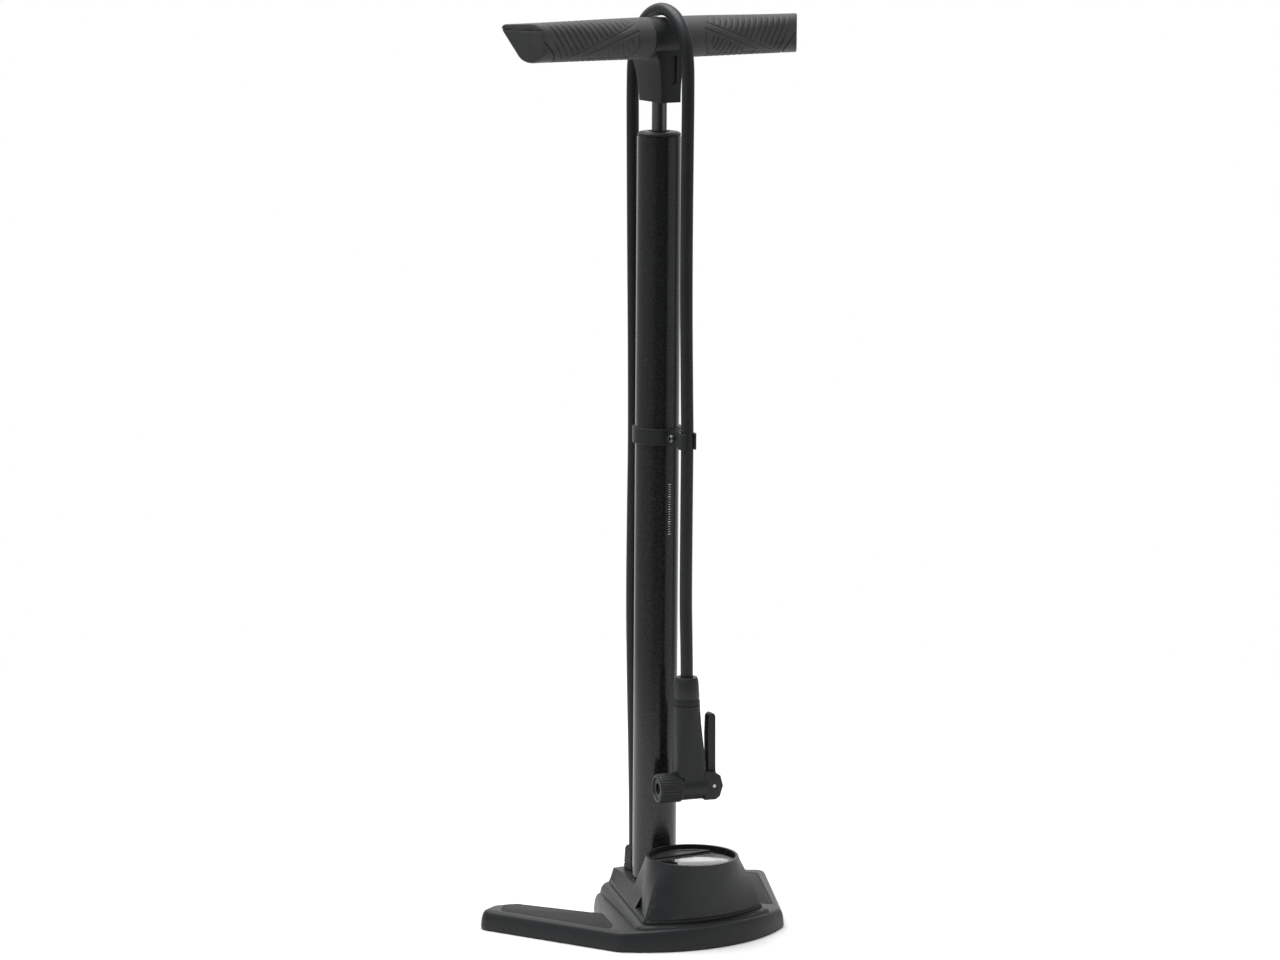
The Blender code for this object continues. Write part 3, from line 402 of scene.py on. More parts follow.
# ---------------------------------------------------------------- shapes
def piece(name, shape, slot, nodes=(), body=None, look=None, origin=(0, 0, 0), turn=0.0,
          sharp=32, bevel=0.0, segments=2, solid=True):
    """One finished object from a bmesh. It hides the CAD nodes given in nodes, in whose place it
    stands.
    """
    if solid:
        bmesh.ops.recalc_face_normals(shape, faces=shape.faces)
    mesh = mesh_of(name, shape)
    obj = linked(name, mesh)
    obj["cuts"] = 0
    mesh.transform(Matrix.Translation(origin) @ Matrix.Rotation(turn, 4, "Z"))
    mesh.shade_smooth()
    mesh.set_sharp_from_angle(angle=radians(sharp))
    mesh.materials.append(look or LOOKS[slot])
    if nodes:
        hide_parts(*nodes)
    obj["wanted_body"] = body or BODY_OF_NODE[nodes[0]]
    obj["wanted_bevel"] = bevel
    obj["wanted_segments"] = segments
    obj["wanted_sharp"] = float(sharp)
    return obj


def boolean(obj, operation, shape, turn=0.0, origin=(0, 0, 0)):
    """Joins a bmesh to an object or cuts it out. settle() applies it."""
    bmesh.ops.recalc_face_normals(shape, faces=shape.faces)
    mesh = mesh_of("tool", shape)
    mesh.transform(Matrix.Translation(origin) @ Matrix.Rotation(turn, 4, "Z"))
    tool = linked("tool", mesh)
    modifier = obj.modifiers.new("tool", "BOOLEAN")
    modifier.operation = operation
    modifier.object = tool
    modifier.solver = "EXACT"
    tool.hide_render = True
    obj["cuts"] = 1
    return tool


def cut(obj, *shapes, **place):
    for shape in shapes:
        boolean(obj, "DIFFERENCE", shape, **place)


def join(obj, *shapes, **place):
    for shape in shapes:
        boolean(obj, "UNION", shape, **place)


def settle():
    """Applies the cuts, adds the edge rounding and hangs every piece on its body."""
    graph = bpy.context.evaluated_depsgraph_get()
    pieces = [obj for obj in bpy.data.objects if "wanted_body" in obj]
    for obj in pieces:
        if obj["cuts"]:
            done = bpy.data.meshes.new_from_object(obj.evaluated_get(graph))
            obj.modifiers.clear()
            obj.data = done
            shape = bmesh.new()
            shape.from_mesh(done)
            bmesh.ops.remove_doubles(shape, verts=shape.verts, dist=MERGE)
            bmesh.ops.dissolve_degenerate(shape, dist=MERGE / 2, edges=shape.edges)
            shape.to_mesh(done)
            shape.free()
            done.shade_smooth()
            done.set_sharp_from_angle(angle=radians(obj["wanted_sharp"]))
    for obj in [obj for obj in bpy.data.objects if obj.name.startswith("tool")]:
        bpy.data.objects.remove(obj)
    for obj in pieces:
        if obj["wanted_bevel"]:
            rounding = obj.modifiers.new("edges", "BEVEL")
            rounding.width = obj["wanted_bevel"]
            rounding.segments = obj["wanted_segments"]
            rounding.limit_method = "ANGLE"
            rounding.angle_limit = radians(obj["wanted_sharp"])
            rounding.harden_normals = True
            rounding.miter_outer = "MITER_ARC"
        body = obj["wanted_body"]
        for key in ("wanted_body", "wanted_bevel", "wanted_segments", "wanted_sharp", "cuts"):
            del obj[key]
        if body != "none":
            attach(obj, body)


def rings_to_shape(rings, closed=False, caps=True):
    shape = bmesh.new()
    loops = [[shape.verts.new(point) for point in ring] for ring in rings]
    count = len(loops[0])
    pairs = list(zip(loops, loops[1:]))
    if closed:
        pairs.append((loops[-1], loops[0]))
    elif caps:
        shape.faces.new(loops[0])
        shape.faces.new(loops[-1])
    for low, high in pairs:
        for i in range(count):
            j = (i + 1) % count
            shape.faces.new((low[i], low[j], high[j], high[i]))
    return shape


def around(count, offset=0.0):
    """Evenly spaced angles round a circle."""
    return [2 * pi * (i + offset) / count for i in range(count)]


def turned(profile, sides=96, axis="Z", closed=False, centre=(0, 0, 0)):
    turn = {"Z": Matrix.Identity(3), "X": Matrix.Rotation(radians(90), 3, "Y"),
            "Y": Matrix.Rotation(radians(-90), 3, "X")}[axis]
    rings = [[turn @ Vector((r * cos(a), r * sin(a), z)) + Vector(centre) for a in around(sides)]
             for r, z in profile]
    return rings_to_shape(rings, closed)


def ring(outer, inner, low, high, sides=96, axis="Z", centre=(0, 0, 0)):
    return turned([(outer, low), (outer, high), (inner, high), (inner, low)], sides, axis, True,
                  centre)


def cylinder(radius, low, high, sides=48, axis="Z", centre=(0, 0, 0)):
    return turned([(radius, low), (radius, high)], sides, axis, False, centre)


def box(low, high):
    return rings_to_shape([[(low[0], low[1], z), (high[0], low[1], z), (high[0], high[1], z),
                            (low[0], high[1], z)] for z in (low[2], high[2])])


def prism(outline, low, high):
    return rings_to_shape([[(x, y, z) for x, y in outline] for z in (low, high)])


def arc(centre, radius, start, end, spans):
    step = (end - start) / spans
    return [(centre[0] + radius * cos(start + step * i), centre[1] + radius * sin(start + step * i))
            for i in range(spans + 1)]


def spline(a, b, c, d, t):
    """The Catmull-Rom curve from b (t = 0) to c (t = 1)."""
    return 0.5 * (2 * b + t * (c - a) + t * t * (2 * a - 5 * b + 4 * c - d)
                  + t ** 3 * (3 * b - a - 3 * c + d))


def smooth_levels(levels, steps=4):
    """More levels along a Catmull-Rom curve through the ones given."""
    ends = [levels[0]] + list(levels) + [levels[-1]]
    result = []
    for a, b, c, d in zip(ends, ends[1:], ends[2:], ends[3:]):
        for step in range(steps):
            result.append(tuple(spline(p, q, r, s, step / steps)
                                for p, q, r, s in zip(a, b, c, d)))
    result.append(tuple(levels[-1]))
    return result


def mirrored(half):
    return half + [(-x, y, r, n) for x, y, r, n in reversed(half) if x > 0]


def flipped(corners):
    return [(-x, y, r, n) for x, y, r, n in reversed(corners)]


def inset_corners(corners, inset):
    result = []
    count = len(corners)
    for i, (x, y, r, n) in enumerate(corners):
        before = Vector(corners[i - 1][:2])
        here = Vector((x, y))
        after = Vector(corners[(i + 1) % count][:2])
        into = (here - before).normalized()
        out = (after - here).normalized()
        bisector = Vector((-into.y - out.y, into.x + out.x)).normalized()
        across = bisector.dot(Vector((-into.y, into.x)))
        moved = here + bisector * inset / across
        convex = into.x * out.y - into.y * out.x > 0
        new_r = max(r - inset, 0.0006) if convex else r + inset
        result.append((moved.x, moved.y, new_r, n))
    return result


def rounded(corners, inset=0.0, fine=FINE):
    points = []
    corners = inset_corners(corners, inset)
    count = len(corners)
    for i, (x, y, r, n) in enumerate(corners):
        here = Vector((x, y))
        before = (Vector(corners[i - 1][:2]) - here).normalized()
        after = (Vector(corners[(i + 1) % count][:2]) - here).normalized()
        half = before.angle(after) / 2
        centre = here + (before + after).normalized() * r / sin(half)
        start = here + before * r / tan(half) - centre
        end = here + after * r / tan(half) - centre
        sweep = start.angle_signed(end)
        spans = n * fine
        for step in range(spans + 1):
            points.append(tuple(centre + Matrix.Rotation(-sweep * step / spans, 2) @ start))
    return points


def loft(corners, levels, height=lambda y: 0.0):
    return rings_to_shape([[(x, y, z + height(y)) for x, y in rounded(corners, inset)]
                           for z, inset in levels])


def seam_height(y):
    return SEAM_RISE * (y - SEAM_FRONT_Y)


def rim_height(y):
    """How far the foot's front rim stands above the wings, which it meets level."""
    return RIM_RISE * (RIM_START_Y - y)


def smooth_route(route, spacing):
    """Evenly spaced points on a Catmull-Rom curve through a route of (y, z) pairs."""
    ends = [2 * Vector(route[0]) - Vector(route[1])] + [Vector(p) for p in route]
    ends.append(2 * Vector(route[-1]) - Vector(route[-2]))
    fine = []
    for a, b, c, d in zip(ends, ends[1:], ends[2:], ends[3:]):
        for step in range(ROUTE_STEPS):
            fine.append(spline(a, b, c, d, step / ROUTE_STEPS))
    fine.append(Vector(route[-1]))
    walked = [0.0]
    for a, b in zip(fine, fine[1:]):
        walked.append(walked[-1] + (b - a).length)
    count = int(walked[-1] / spacing)
    points = []
    at = 0
    for i in range(count + 1):
        target = walked[-1] * i / count
        while at < len(fine) - 2 and walked[at + 1] < target:
            at += 1
        share = (target - walked[at]) / (walked[at + 1] - walked[at])
        points.append(fine[at].lerp(fine[at + 1], share))
    return points


# ---------------------------------------------------------------- hose
def build_hose():
    points = smooth_route(HOSE_ROUTE, HOSE_SPACING)
    rings = []
    for i, point in enumerate(points):
        ahead = points[min(i + 1, len(points) - 1)] - points[max(i - 1, 0)]
        ahead.normalize()
        across = Vector((-ahead.y, ahead.x))
        rings.append([(HOSE_R * cos(a), point.x + across.x * HOSE_R * sin(a),
                       point.y + across.y * HOSE_R * sin(a)) for a in around(HOSE_SIDES)])
    hose = piece("hose_tube", rings_to_shape(rings), "hose_rubber", ["hose"], body="none")
    path = [(0.0, p.x, p.y) for p in points]
    length = sum((Vector(b) - Vector(a)).length for a, b in zip(path, path[1:]))
    return hose, path, length


hose, hose_path, hose_length = build_hose()


# ---------------------------------------------------------------- base
def foot_corners():
    return mirrored([
        (0.0, -0.1261, 0.120, 10), (0.0780, -0.0728, 0.014, 3), (0.1385, 0.0460, 0.010, 3),
        (0.1180, 0.0580, 0.009, 3), (0.1010, 0.0550, 0.005, 2), (0.0565, -0.0070, 0.006, 2),
        (0.0260, 0.0510, 0.007, 2),
    ])


def cover_corners():
    return mirrored([(0.0, -0.1012, 0.115, 10), (0.0570, -0.0754, 0.004, 2),
                     (0.0165, 0.0445, 0.004, 2)])


def pod_corners():
    return mirrored([(0.0, -0.1012, 0.115, 10), (0.0570, -0.0754, 0.003, 2),
                     (0.0385, -0.0400, 0.004, 2), (0.0360, -0.0150, 0.003, 1)])


def tread_corners():
    return [(0.0765, -0.0590, 0.003, 2), (0.1225, 0.0350, 0.004, 2), (0.1120, 0.0480, 0.005, 2),
            (0.1005, 0.0480, 0.003, 2), (0.0575, -0.0140, 0.002, 2), (0.0690, -0.0480, 0.002, 2)]


def build_foot():
    top = smooth_levels([(0.0018, 0.0), (0.0085, 0.0006), (0.0125, 0.0018), (0.0148, 0.0034),
                         (WING_TOP, 0.0062)], 3)
    foot = piece("foot_shell", loft(foot_corners(), [(FOOT_LOW, 0.0006)] + top),
                 "moulded_plastic", ["base_foot"], bevel=0.00025, sharp=30)
    join(foot, loft(cover_corners(), smooth_levels([
        (0.0060, -0.0068), (0.0125, -0.0066), (0.0162, -0.0056), (0.0188, -0.0036),
        (SEAM_FRONT_Z, -0.0008)], 3), seam_height))
    join(foot, cylinder(SOCKET_BOSS_R, 0.010, 0.0330, 72),
         cylinder(0.0055, 0.010, 0.0300, 32, centre=(0, HOSE_EXIT_Y, 0)))
    cut(foot, cylinder(BARREL_R + GAP, SOCKET_FLOOR, 0.05, 96),
        cylinder(0.0029, 0.0072, 0.040, 24, centre=(0, HOSE_EXIT_Y, 0)),
        cylinder(0.0024, 0.0070, 0.020, 24),
        cylinder(0.0016, 0.0008, HOSE_EXIT_Y - 0.0011, 12, "Y", (0, 0, 0.0096)))
    for x, y in BASE_SCREWS:
        cut(foot, cylinder(SCREW_HOLE_R, BELOW, 0.04, 16, centre=(x, y, 0)),
            cylinder(SCREW_HEAD_R, BELOW, 0.006, 32, centre=(x, y, 0)))
    for x, y in FOOT_PADS:
        cut(foot, cylinder(FOOT_PAD_R + GAP, BELOW, FOOT_PAD_THICK + GAP, 48, centre=(x, y, 0)))
    cut(foot, cylinder(CELL_WELL_R, BELOW, CELL_WELL_TOP, 72, centre=(0, GAUGE_Y, 0)))
    for corners in (tread_corners(), flipped(tread_corners())):
        cut(foot, prism(rounded(corners, -GAP), WING_TOP - TREAD_DEPTH, 0.03))
    along = Vector(WING_RUN)
    across = Vector((along.y, -along.x)) * POCKET_HALF_WIDTH
    half = along * POCKET_HALF_LENGTH
    for side in (1, -1):
        for i in range(POCKETS):
            centre = Vector(POCKET_START) + along * POCKET_PITCH * i
            ends = [centre - across - half, centre + across - half, centre + across + half,
                    centre - across + half]
            outline = [(side * p.x, p.y) for p in ends]
            cut(foot, prism(outline[::side], BELOW, POCKET_TOP))
    return foot


def pod_ring(z, radius, spread, inset):
    outline = rounded(pod_corners(), inset)
    rear = -BARREL_R - 0.0018 - inset * 0.5
    centre = Vector((0.0, GAUGE_Y))
    edges = [(Vector(a) - centre, Vector(b) - centre)
             for a, b in zip(outline, outline[1:] + outline[:1])]
    points = []
    for angle in around(POD_SIDES, 0.5):
        direction = Vector((cos(angle), sin(angle)))
        reach = 0.2
        for a, b in edges:
            edge = b - a
            cross = direction.x * edge.y - direction.y * edge.x
            if abs(cross) > 1e-9:
                t = (a.x * edge.y - a.y * edge.x) / cross
                s = (a.x * direction.y - a.y * direction.x) / cross
                if t > 0 and -1e-6 <= s <= 1 + 1e-6:
                    reach = min(reach, t)
        point = centre + direction * (radius + (reach - radius) * spread)
        points.append((point.x, min(point.y, rear), z))
    return points


def pod_shape(inset, rim_radius, levels):
    return rings_to_shape([pod_ring(z, rim_radius, spread, inset) for z, spread in levels])


def rear_shape(inset, low, top):
    rings = []
    for z, corners in ((low, ((0.0449, -0.0430), (0.0222, 0.0260), (0.0157, 0.0434))),
                       (top, ((0.0372, -0.0430), (0.0145, 0.0260), (0.0130, 0.0415)))):
        half = [(x - inset, y + inset if y < 0 else y - inset) for x, y in corners]
        rings.append([(x, y, z) for x, y in half] + [(-x, y, z) for x, y in reversed(half)])
    return rings_to_shape(rings)


def build_cover():
    seam = SEAM_FRONT_Z + GAP
    cover = piece("cover_shell", loft(cover_corners(), [(seam, 0.0006), (seam + 0.0006, 0.0001),
                                                        (seam + 0.0035, 0.0016)], seam_height),
                  "moulded_plastic", ["base_cover"], bevel=0.0006, segments=3, sharp=24)
    join(cover, rear_shape(0.0, 0.0247, COVER_TOP))
    join(cover, pod_shape(0.0, GAUGE_RIM_R, smooth_levels([
        (0.0235, 0.93), (0.044, 0.50), (0.058, 0.16), (GAUGE_RIM_Z - 0.001, 0.0)], 4)
        + [(GAUGE_RIM_Z, -0.02)]))
    inside = loft(cover_corners(), [(0.010, SKIN), (seam + 0.0010, SKIN)], seam_height)
    hollow = boolean(cover, "DIFFERENCE", inside)
    join(hollow, rear_shape(SKIN, 0.0225, COVER_TOP - SKIN), pod_shape(
        SKIN, GAUGE_RIM_R - SKIN, [(0.0200, 0.80), (0.044, 0.36), (0.055, 0.06)]))
    for x, y in BASE_SCREWS:
        cut(hollow, cylinder(0.0038, 0.0, 0.08, 24, centre=(x, y, 0)))
    cut(cover, cylinder(GAUGE_WELL_R, GAUGE_SEAT_Z, 0.08, 160, centre=(0, GAUGE_Y, 0)),
        cylinder(GAUGE_WELL_R - 0.003, 0.0530, 0.08, 96, centre=(0, GAUGE_Y, 0)),
        cylinder(SOCKET_BOSS_R + GAP, 0.0, 0.0333, 72), cylinder(BARREL_R + GAP, 0.0, 0.05, 96),
        cylinder(0.0062, 0.0, 0.05, 32, centre=(0, HOSE_EXIT_Y, 0)))
    for x, y in BASE_SCREWS:
        cut(cover, cylinder(0.00175, 0.0, 0.0315, 16, centre=(x, y, 0)))
    return cover


def raise_rim(foot):
    """Lifts the foot's front edge towards the seam, as the rim in front of the gauge."""
    for vertex in foot.data.vertices:
        y, z = vertex.co.yz
        if y < RIM_START_Y and z > RIM_LOW:
            lifted = z + rim_height(y) * step(z, RIM_LOW, RIM_FULL)
            vertex.co.z = max(z, min(lifted, SEAM_FRONT_Z + seam_height(y) - RIM_CLEAR))


def build_treads():
    for side, corners in (("right", tread_corners()), ("left", flipped(tread_corners()))):
        shape = loft(corners, [(WING_TOP + rise, inset) for rise, inset in (
            (GAP - TREAD_DEPTH, 0.0), (-0.0002, 0.0), (0.0001, 0.0002), (0.0002, 0.0008),
            (-0.0001, 0.0012), (-0.0001, 0.0020), (0.0002, 0.0026))])
        piece(f"tread_skin_{side}", shape, "black_rubber", [f"tread_pad_{side}"], sharp=40)


def build_boot():
    corners = [(x, HOSE_EXIT_Y + y, 0.003, 3) for x, y in (
        (-0.0076, -0.0070), (0.0076, -0.0070), (0.0076, 0.0070), (-0.0076, 0.0070))]
    levels = [(COVER_TOP + rise, inset) for rise, inset in (
        (GAP, 0.0004), (0.0008, 0.0), (0.0044, 0.0002), (0.0047, 0.0008), (0.0053, 0.0008),
        (0.0056, 0.0003))]
    levels += [(0.0535, 0.0010), (0.0550, 0.0018), (0.0560, 0.0030), (0.0563, 0.0036)]
    boot = piece("boot_skin", loft(corners, levels), "moulded_plastic", ["hose_boot"], sharp=40)
    cut(boot, cylinder(HOSE_R + GAP, 0.0, 0.1, 48, centre=(0, HOSE_EXIT_Y, 0)))


def crescent(chord_y, radius, spans=72):
    rise = chord_y - GAUGE_Y
    start = atan2(rise, (radius ** 2 - rise ** 2) ** 0.5)
    angles = [start + (pi - 2 * start) * i / spans for i in range(spans + 1)]
    return [(radius * cos(a), GAUGE_Y + radius * sin(a)) for a in angles]


def build_gauge():
    well = GAUGE_WELL_R
    middle = (0, GAUGE_Y, 0)
    low = GAUGE_SEAT_Z + GAP
    piece("gauge_seal", ring(well - GAP, well - 0.0026, low, low + 0.0008, 128, "Z", middle),
          "black_rubber", ["gauge_gasket"], sharp=40)
    dial_low = low + 0.0008 + GAP
    dial_top = dial_low + 0.0014
    dial = piece("gauge_face", cylinder(well - 0.0004, dial_low, dial_top, 144, "Z", middle),
                 "moulded_plastic", ["gauge_dial"], look=DIAL_FACE, bevel=0.00012)
    cut(dial, box((-LCD_X, LCD_Y[0], 0.0), (LCD_X, LCD_Y[1], 0.1)))
    cut(dial, prism(crescent(BUTTON_CHORD_Y, 0.0290), 0.0, 0.1))
    lens_low = dial_top + GAP
    lens = piece("gauge_window", turned([
        (well - 0.0004, lens_low), (well - 0.0004, lens_low + 0.0010),
        (well - 0.0006, lens_low + 0.0013), (well - 0.0010, lens_low + 0.0014)], 160, "Z", False,
        middle), "clear_lens", ["gauge_lens"])
    cut(lens, prism(crescent(BUTTON_CHORD_Y - 0.0006, 0.0310), 0.0, 0.1))
    button_top = lens_low + 0.0030
    stem = prism(crescent(BUTTON_CHORD_Y + 0.0004, 0.0284), 0.0520, button_top)
    button = piece("button_skin", stem, "moulded_plastic", ["gauge_button"], bevel=0.0007,
                   segments=4, sharp=40)
    join(button, prism(crescent(BUTTON_CHORD_Y, 0.0300), lens_low + 0.0010, button_top))
    cut(button, prism(crescent(BUTTON_CHORD_Y + 0.0035, 0.0262), button_top - 0.0005, 0.1))
    piece("display_glass", box((-LCD_X + GAP, LCD_Y[0] + GAP, 0.0535),
                               (LCD_X - GAP, LCD_Y[1] - GAP, dial_low + 0.0008)),
          "lcd_glass", ["gauge_lcd"], bevel=0.0002)
    ink = dial_top + INK
    marks = [box((-LCD_X - 0.0016, LCD_Y[1] + 0.0008, dial_top - 0.0002),
                 (LCD_X + 0.0016, LCD_Y[1] + 0.0015, ink))]
    for i in range(9):
        angle = radians(200 + 17.5 * i)
        centre = Vector((cos(angle), sin(angle))) * 0.0292
        marks.append(cylinder(0.00035, dial_top - 0.0002, ink, 20,
                              centre=(centre.x, GAUGE_Y + centre.y, 0)))
    shape = bmesh.new()
    for mark in marks:
        mesh = mesh_of("mark", mark)
        shape.from_mesh(mesh)
        bpy.data.meshes.remove(mesh)
    piece("dial_print", shape, "moulded_plastic", body="pump_base", look=DIAL_PRINT)


# ---------------------------------------------------------------- barrel
def build_barrel():
    low = SOCKET_FLOOR + GAP
    piece("barrel_tube", turned([
        (BARREL_R - 0.0004, low), (BARREL_R, low + 0.0004), (BARREL_R, BARREL_TOP - 0.0005),
        (BARREL_R - 0.0001, BARREL_TOP - 0.0002), (BARREL_R - 0.0004, BARREL_TOP),
        (BARREL_BORE + 0.0003, BARREL_TOP), (BARREL_BORE, BARREL_TOP - 0.0003),
        (BARREL_BORE, low)], 160, "Z", True), "black_anodised", ["barrel"])
    cap = piece("cap_skin", turned([
        (0.0153, CAP_NECK_LOW), (0.0153, BARREL_TOP + GAP), (0.0169, BARREL_TOP + GAP),
        (0.0171, BARREL_TOP + 0.0006), (0.0171, BARREL_TOP + 0.0016), (0.0168, BARREL_TOP + 0.0022),
        (0.0160, CAP_TOP - 0.0008), (0.0150, CAP_TOP - 0.0003), (0.0125, CAP_TOP)], 128),
        "moulded_plastic", ["barrel_cap"])
    cut(cap, cylinder(0.0088, 0.60, 0.65, 72))
    piece("bush_skin", ring(0.0085, ROD_R + 0.0002, CAP_NECK_LOW + 0.001, CAP_TOP - 0.0010, 72),
          "bright_steel", ["rod_bush"], bevel=0.0003)
    # The rod takes the darker copy of bright steel, which is painted shade.
    rod = piece("rod_skin", cylinder(ROD_R, ROD_LOW, ROD_TOP, 72), "bright_steel", ["piston_rod"],
                look=SHADED_ROD_STEEL, bevel=0.0004)
    cut(rod, cylinder(0.0032, 0.6870, 0.75, 24))
    cut(rod, cylinder(0.0027, 0.0, 0.0600, 24))
    shape = bmesh.new()
    for i in range(SCALE_TICKS):
        width = SCALE_LONG if i % 5 == 0 else SCALE_SHORT
        height = SCALE_LOW + SCALE_STEP * i
        angles = [SCALE_ANGLE + width * (2 * k / TICK_SPANS - 1) for k in range(TICK_SPANS + 1)]
        lines = [[shape.verts.new((reach * cos(a), reach * sin(a), z)) for a in angles]
                 for z in (height - TICK_HALF, height + TICK_HALF)
                 for reach in (BARREL_R - 0.0002, BARREL_R + INK)]
        order = [lines[0], lines[1], lines[3], lines[2]]
        for a, b in zip(order, order[1:] + order[:1]):
            for k in range(TICK_SPANS):
                shape.faces.new((a[k], a[k + 1], b[k + 1], b[k]))
        for end in (0, TICK_SPANS):
            shape.faces.new([line[end] for line in order])
    piece("barrel_scale", shape, "black_anodised", body="pump_base", look=PRINT)


# ---------------------------------------------------------------- handle
def hull_section(circles, spans):
    points = []
    for angle in around(spans, 0.5):
        normal = Vector((cos(angle), sin(angle)))
        reached = [(Vector((y, z)) + normal * radius).dot(normal) for y, z, radius in circles]
        y, z, radius = circles[reached.index(max(reached))]
        points.append(Vector((y, z)) + normal * radius)
    return points


def even_section(circles, spans):
    """The hull of the circles, with its points evenly spaced round it."""
    outline = hull_section(circles, spans * 4)
    lengths = [0.0]
    for a, b in zip(outline, outline[1:] + outline[:1]):
        lengths.append(lengths[-1] + (b - a).length)
    points = []
    at = 0
    for i in range(spans):
        target = lengths[-1] * i / spans
        while lengths[at + 1] < target:
            at += 1
        share = (target - lengths[at]) / max(lengths[at + 1] - lengths[at], 1e-9)
        points.append(outline[at].lerp(outline[(at + 1) % len(outline)], share))
    return points


def grip_circles(share):
    ease = share * share * (3 - 2 * share)
    return [[a + (b - a) * ease for a, b in zip(GRIP_ROOT_CIRCLE, end)]
            for end in GRIP_END_CIRCLES]


def grip_end(y, extra=0.0):
    return GRIP_REAR_END - (GRIP_REAR_Y - y) * GRIP_SLANT + extra


def step(value, low, high):
    t = min(1.0, max(0.0, (value - low) / (high - low)))
    return t * t * (3 - 2 * t)


def valley(distance, half_width):
    """1 at the middle of a groove, 0 from half_width on."""
    return 1 - step(abs(distance), 0.0, half_width)


RIDGE_START = (0.033, 0.0118)
RIDGE_END = (0.094, -0.0108)


def ridge_height(x):
    return RIDGE_START[1] + (x - RIDGE_START[0]) * ((RIDGE_END[1] - RIDGE_START[1])
                                                    / (RIDGE_END[0] - RIDGE_START[0]))


def grooves(position, first, pitch, half_width):
    """1 at the middle of each of a row of grooves, 0 between them."""
    count = (position - first) / pitch
    return valley((count - round(count)) * pitch, half_width)


def grip_depth(x, z, front):
    """How far the moulded pattern lies under the grip's outer skin. z is from the handle's axis."""
    depth = 0.0
    above = (z - ridge_height(x)) * 0.94
    down = max(0.0, 0.0150 - z)
    outer_edge = 0.1135 - 0.42 * down if front else 0.1135 - 0.18 * down
    if front:
        depth += (0.0007 * valley(above, 0.0009) * step(x, 0.030, 0.036)
                  * (1 - step(x, 0.092, 0.097)))
        upper = step(above, 0.0008, 0.0018)
    else:
        upper = 1.0 if z > -0.004 else step(z, -0.011, -0.004)
    field = upper * step(x, 0.0355, 0.0375) * step(outer_edge - x, 0.0, 0.0015)
    along = x + 0.62 * down if front else x + 0.10 * down
    depth += 0.0011 * field * grooves(along, 0.0385, 0.0055, 0.0013)
    if front:
        below = 0.0048 - (x - 0.037) * 0.349 - z
        inner = x - (0.0305 + 1.1 * max(0.0, -z - 0.002) ** 2 / 0.02)
        bottom = z + 0.0128
        inside = min(below, inner * 1.2, bottom)
        if x < 0.080:
            depth += 0.0008 * valley(inside, 0.0008)
        low_field = step(below, 0.0028, 0.0036) * step(inner, 0.0045, 0.0055)
        low_field *= step(bottom, 0.0012, 0.0022) * (1 - step(x, 0.0675, 0.0685))
        depth += 0.0010 * low_field * grooves(x + 0.45 * (-z), 0.0375, 0.0047, 0.0012)
    if z < -0.011:
        share = step(-z, 0.0112, 0.0128) * step(x, 0.034, 0.036) * (1 - step(x, 0.089, 0.091))
        depth += 0.0009 * share * grooves(x, 0.0362, 0.0052, 0.0013)
    depth += 0.0005 * (1 - step(x, HUB_HALF + GAP, HUB_HALF + 0.0012))
    return depth


CAP_SPLIT_Z = 0.0102
GRIP_SIDES = 144
CAP_FACE = [(0.0009, 0.992), (0.0004, 0.975), (0.0001, 0.950)]
CAP_FACE += [(0.0, shrink) for shrink in (0.92, 0.86, 0.78, 0.70, 0.62, 0.54, 0.44, 0.32, 0.20,
                                          0.08)]


def cap_side(x, y, z):
    """Above 0 on the end cap, below 0 on the rubber of the grip."""
    wrap = 0.0008 + max(0.0, 0.0020 - z) * 0.82
    return min(CAP_SPLIT_Z - z, x - (grip_end(y, CAP_THICK) - wrap))


